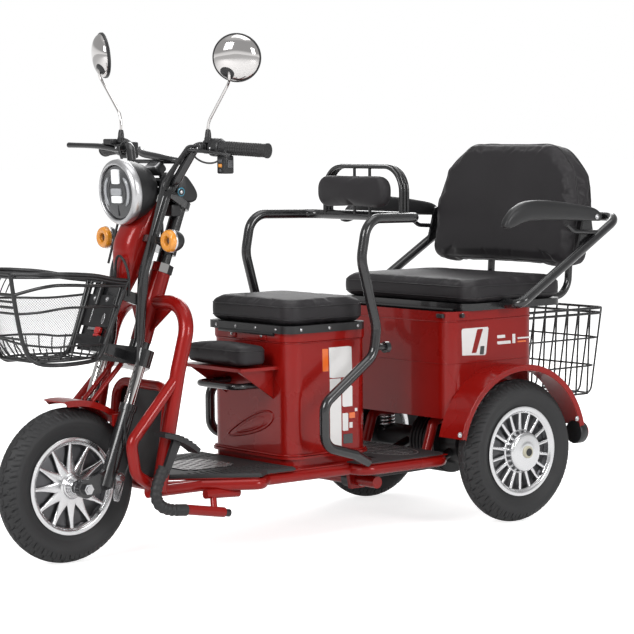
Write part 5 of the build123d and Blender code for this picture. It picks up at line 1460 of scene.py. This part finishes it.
# ------------------------------------------------------------------ stage
class TRIKE_OT_stage(bpy.types.Operator):
    """Make the floor, the lamps, the surroundings and the camera"""

    bl_idname = "trike.stage"
    bl_label = "Stage"

    def execute(self, context):
        scene = context.scene
        stage = scene.trike_stage
        mesh = bpy.data.meshes.new("floor")
        mesh.from_pydata([(-40, -40, 0), (40, -40, 0), (40, 40, 0), (-40, 40, 0)], [], [(0, 1, 2, 3)])
        floor = bpy.data.objects.new("floor", mesh)
        scene.collection.objects.link(floor)
        material = bpy.data.materials.new("floor_white")
        material.use_nodes = True
        tree = material.node_tree
        link = tree.links.new
        tree.nodes.clear()
        out = node(tree, "OutputMaterial")
        plain = node(tree, "BsdfDiffuse", Color=(0.80, 0.80, 0.80, 1))
        glow = node(tree, "Emission")
        path = node(tree, "LightPath")
        part = node(tree, "Math")
        part.operation = "MULTIPLY_ADD"
        part.inputs[1].default_value = 0.3
        strength = node(tree, "Math")
        strength.operation = "MULTIPLY"
        strength.inputs[1].default_value = 0.76
        both = node(tree, "AddShader")
        link(path.outputs["Is Glossy Ray"], part.inputs[0])
        link(path.outputs["Is Camera Ray"], part.inputs[2])
        link(part.outputs[0], strength.inputs[0])
        link(strength.outputs[0], glow.inputs["Strength"])
        link(plain.outputs[0], both.inputs[0])
        link(glow.outputs[0], both.inputs[1])
        link(both.outputs[0], out.inputs["Surface"])
        mesh.materials.append(material)

        world = bpy.data.worlds.new("studio")
        scene.world = world
        world.use_nodes = True
        tree = world.node_tree
        link = tree.links.new
        tree.nodes.clear()
        out = node(tree, "OutputWorld")
        split = node(tree, "SeparateXYZ")
        ramp = node(tree, "ValToRGB")
        ramp.color_ramp.interpolation = "EASE"
        stops = ramp.color_ramp.elements
        stops[0].position, stops[0].color = 0.0, (1, 1, 1, 1)
        stops[1].position, stops[1].color = 1.0, (0.6, 0.6, 0.6, 1)
        for position, value in ((0.05, 0.9), (0.16, 0.42), (0.72, 0.42), (0.86, 0.6)):
            stops.new(position).color = (value, value, value, 1)
        shine = node(tree, "Background")
        fill = node(tree, "Background", Strength=stage.fill, Color=(1, 1, 1, 1))
        white = node(tree, "Background", Color=(1, 1, 1, 1))
        path = node(tree, "LightPath")
        first, second = node(tree, "MixShader"), node(tree, "MixShader")
        seen = node(tree, "Math")
        seen.operation = "MAXIMUM"
        link(node(tree, "TexCoord").outputs["Generated"], split.inputs[0])
        link(split.outputs["Z"], ramp.inputs["Fac"])
        link(ramp.outputs["Color"], shine.inputs["Color"])
        link(path.outputs["Is Camera Ray"], seen.inputs[0])
        link(path.outputs["Is Transmission Ray"], seen.inputs[1])
        for mix, factor, low, high in (
            (first, path.outputs["Is Glossy Ray"], fill, shine), (second, seen.outputs[0], first, white),
        ):
            link(factor, mix.inputs["Fac"])
            link(low.outputs[0], mix.inputs[1])
            link(high.outputs[0], mix.inputs[2])
        link(second.outputs[0], out.inputs["Surface"])

        for name, spot, power, size, aim in (
            ("key", (1.6, -5.2, 3.6), 195, 2.4, (0, 0, 0.5)),
            ("side", (5.0, 0.6, 2.4), 85, 1.6, (0, 0.2, 0.5)),
            ("back", (-3.4, 3.6, 3.4), 90, 2.6, (0, 0, 0.6)),
            ("top", (0.4, 0.2, 4.6), 50, 3.0, (0, 0, 0)),
        ):
            lamp = bpy.data.lights.new(name, "AREA")
            lamp.energy = power
            lamp.size = size
            obj = bpy.data.objects.new(name, lamp)
            scene.collection.objects.link(obj)
            obj.location = spot
            obj.rotation_euler = (Vector(aim) - Vector(spot)).to_track_quat("-Z", "Y").to_euler()

        view = bpy.data.cameras.new("camera")
        view.lens = stage.lens
        view.sensor_width = 36
        view.shift_x = -0.03754
        view.shift_y = -0.00805
        view.clip_end = 100
        camera = bpy.data.objects.new("camera", view)
        scene.collection.objects.link(camera)
        right = Vector((0.64084604, 0.76762721, -0.00805098))
        down = Vector((0.05530508, -0.05662613, -0.99686249))
        ahead = Vector((-0.76567467, 0.63839012, -0.07874232))
        turn = Matrix((right, -down, -ahead)).transposed().to_4x4()
        camera.matrix_world = Matrix.Translation(Vector(stage.camera)) @ turn
        scene.camera = camera
        scene.view_settings.view_transform = "Standard"
        return {"FINISHED"}


STEPS = (
    TRIKE_OT_finishes, TRIKE_OT_tyres, TRIKE_OT_rims, TRIKE_OT_cushions, TRIKE_OT_backrest,
    TRIKE_OT_armrests, TRIKE_OT_headlight, TRIKE_OT_shield, TRIKE_OT_signals, TRIKE_OT_hand_controls,
    TRIKE_OT_switches, TRIKE_OT_pedal, TRIKE_OT_mats, TRIKE_OT_box_details, TRIKE_OT_front_basket,
    TRIKE_OT_springs, TRIKE_OT_cables, TRIKE_OT_stage,
)
GROUPS = (
    (PaintSettings, "trike_paint"), (WheelSettings, "trike_wheels"), (SeatSettings, "trike_seats"),
    (WireSettings, "trike_wires"), (StageSettings, "trike_stage"),
)


class TRIKE_PT_pieces(bpy.types.Panel):
    """The tricycle's pieces and their settings"""

    bl_idname = "TRIKE_PT_pieces"
    bl_label = "Tricycle"
    bl_space_type = "VIEW_3D"
    bl_region_type = "UI"
    bl_category = "Tricycle"

    def draw(self, context):
        for group, name in GROUPS:
            box = self.layout.box()
            for key in group.__annotations__:
                box.prop(getattr(context.scene, name), key)
        for step in STEPS:
            self.layout.operator(step.bl_idname)


def register():
    for group, name in GROUPS:
        bpy.utils.register_class(group)
        setattr(bpy.types.Scene, name, bpy.props.PointerProperty(type=group))
    for step in STEPS:
        bpy.utils.register_class(step)
    bpy.utils.register_class(TRIKE_PT_pieces)


def unregister():
    bpy.utils.unregister_class(TRIKE_PT_pieces)
    for step in reversed(STEPS):
        bpy.utils.unregister_class(step)
    for group, name in reversed(GROUPS):
        delattr(bpy.types.Scene, name)
        bpy.utils.unregister_class(group)


def main():
    register()
    for step in STEPS:
        folder, name = step.bl_idname.split(".")
        getattr(getattr(bpy.ops, folder), name)()


if __name__ == "__main__":
    main()
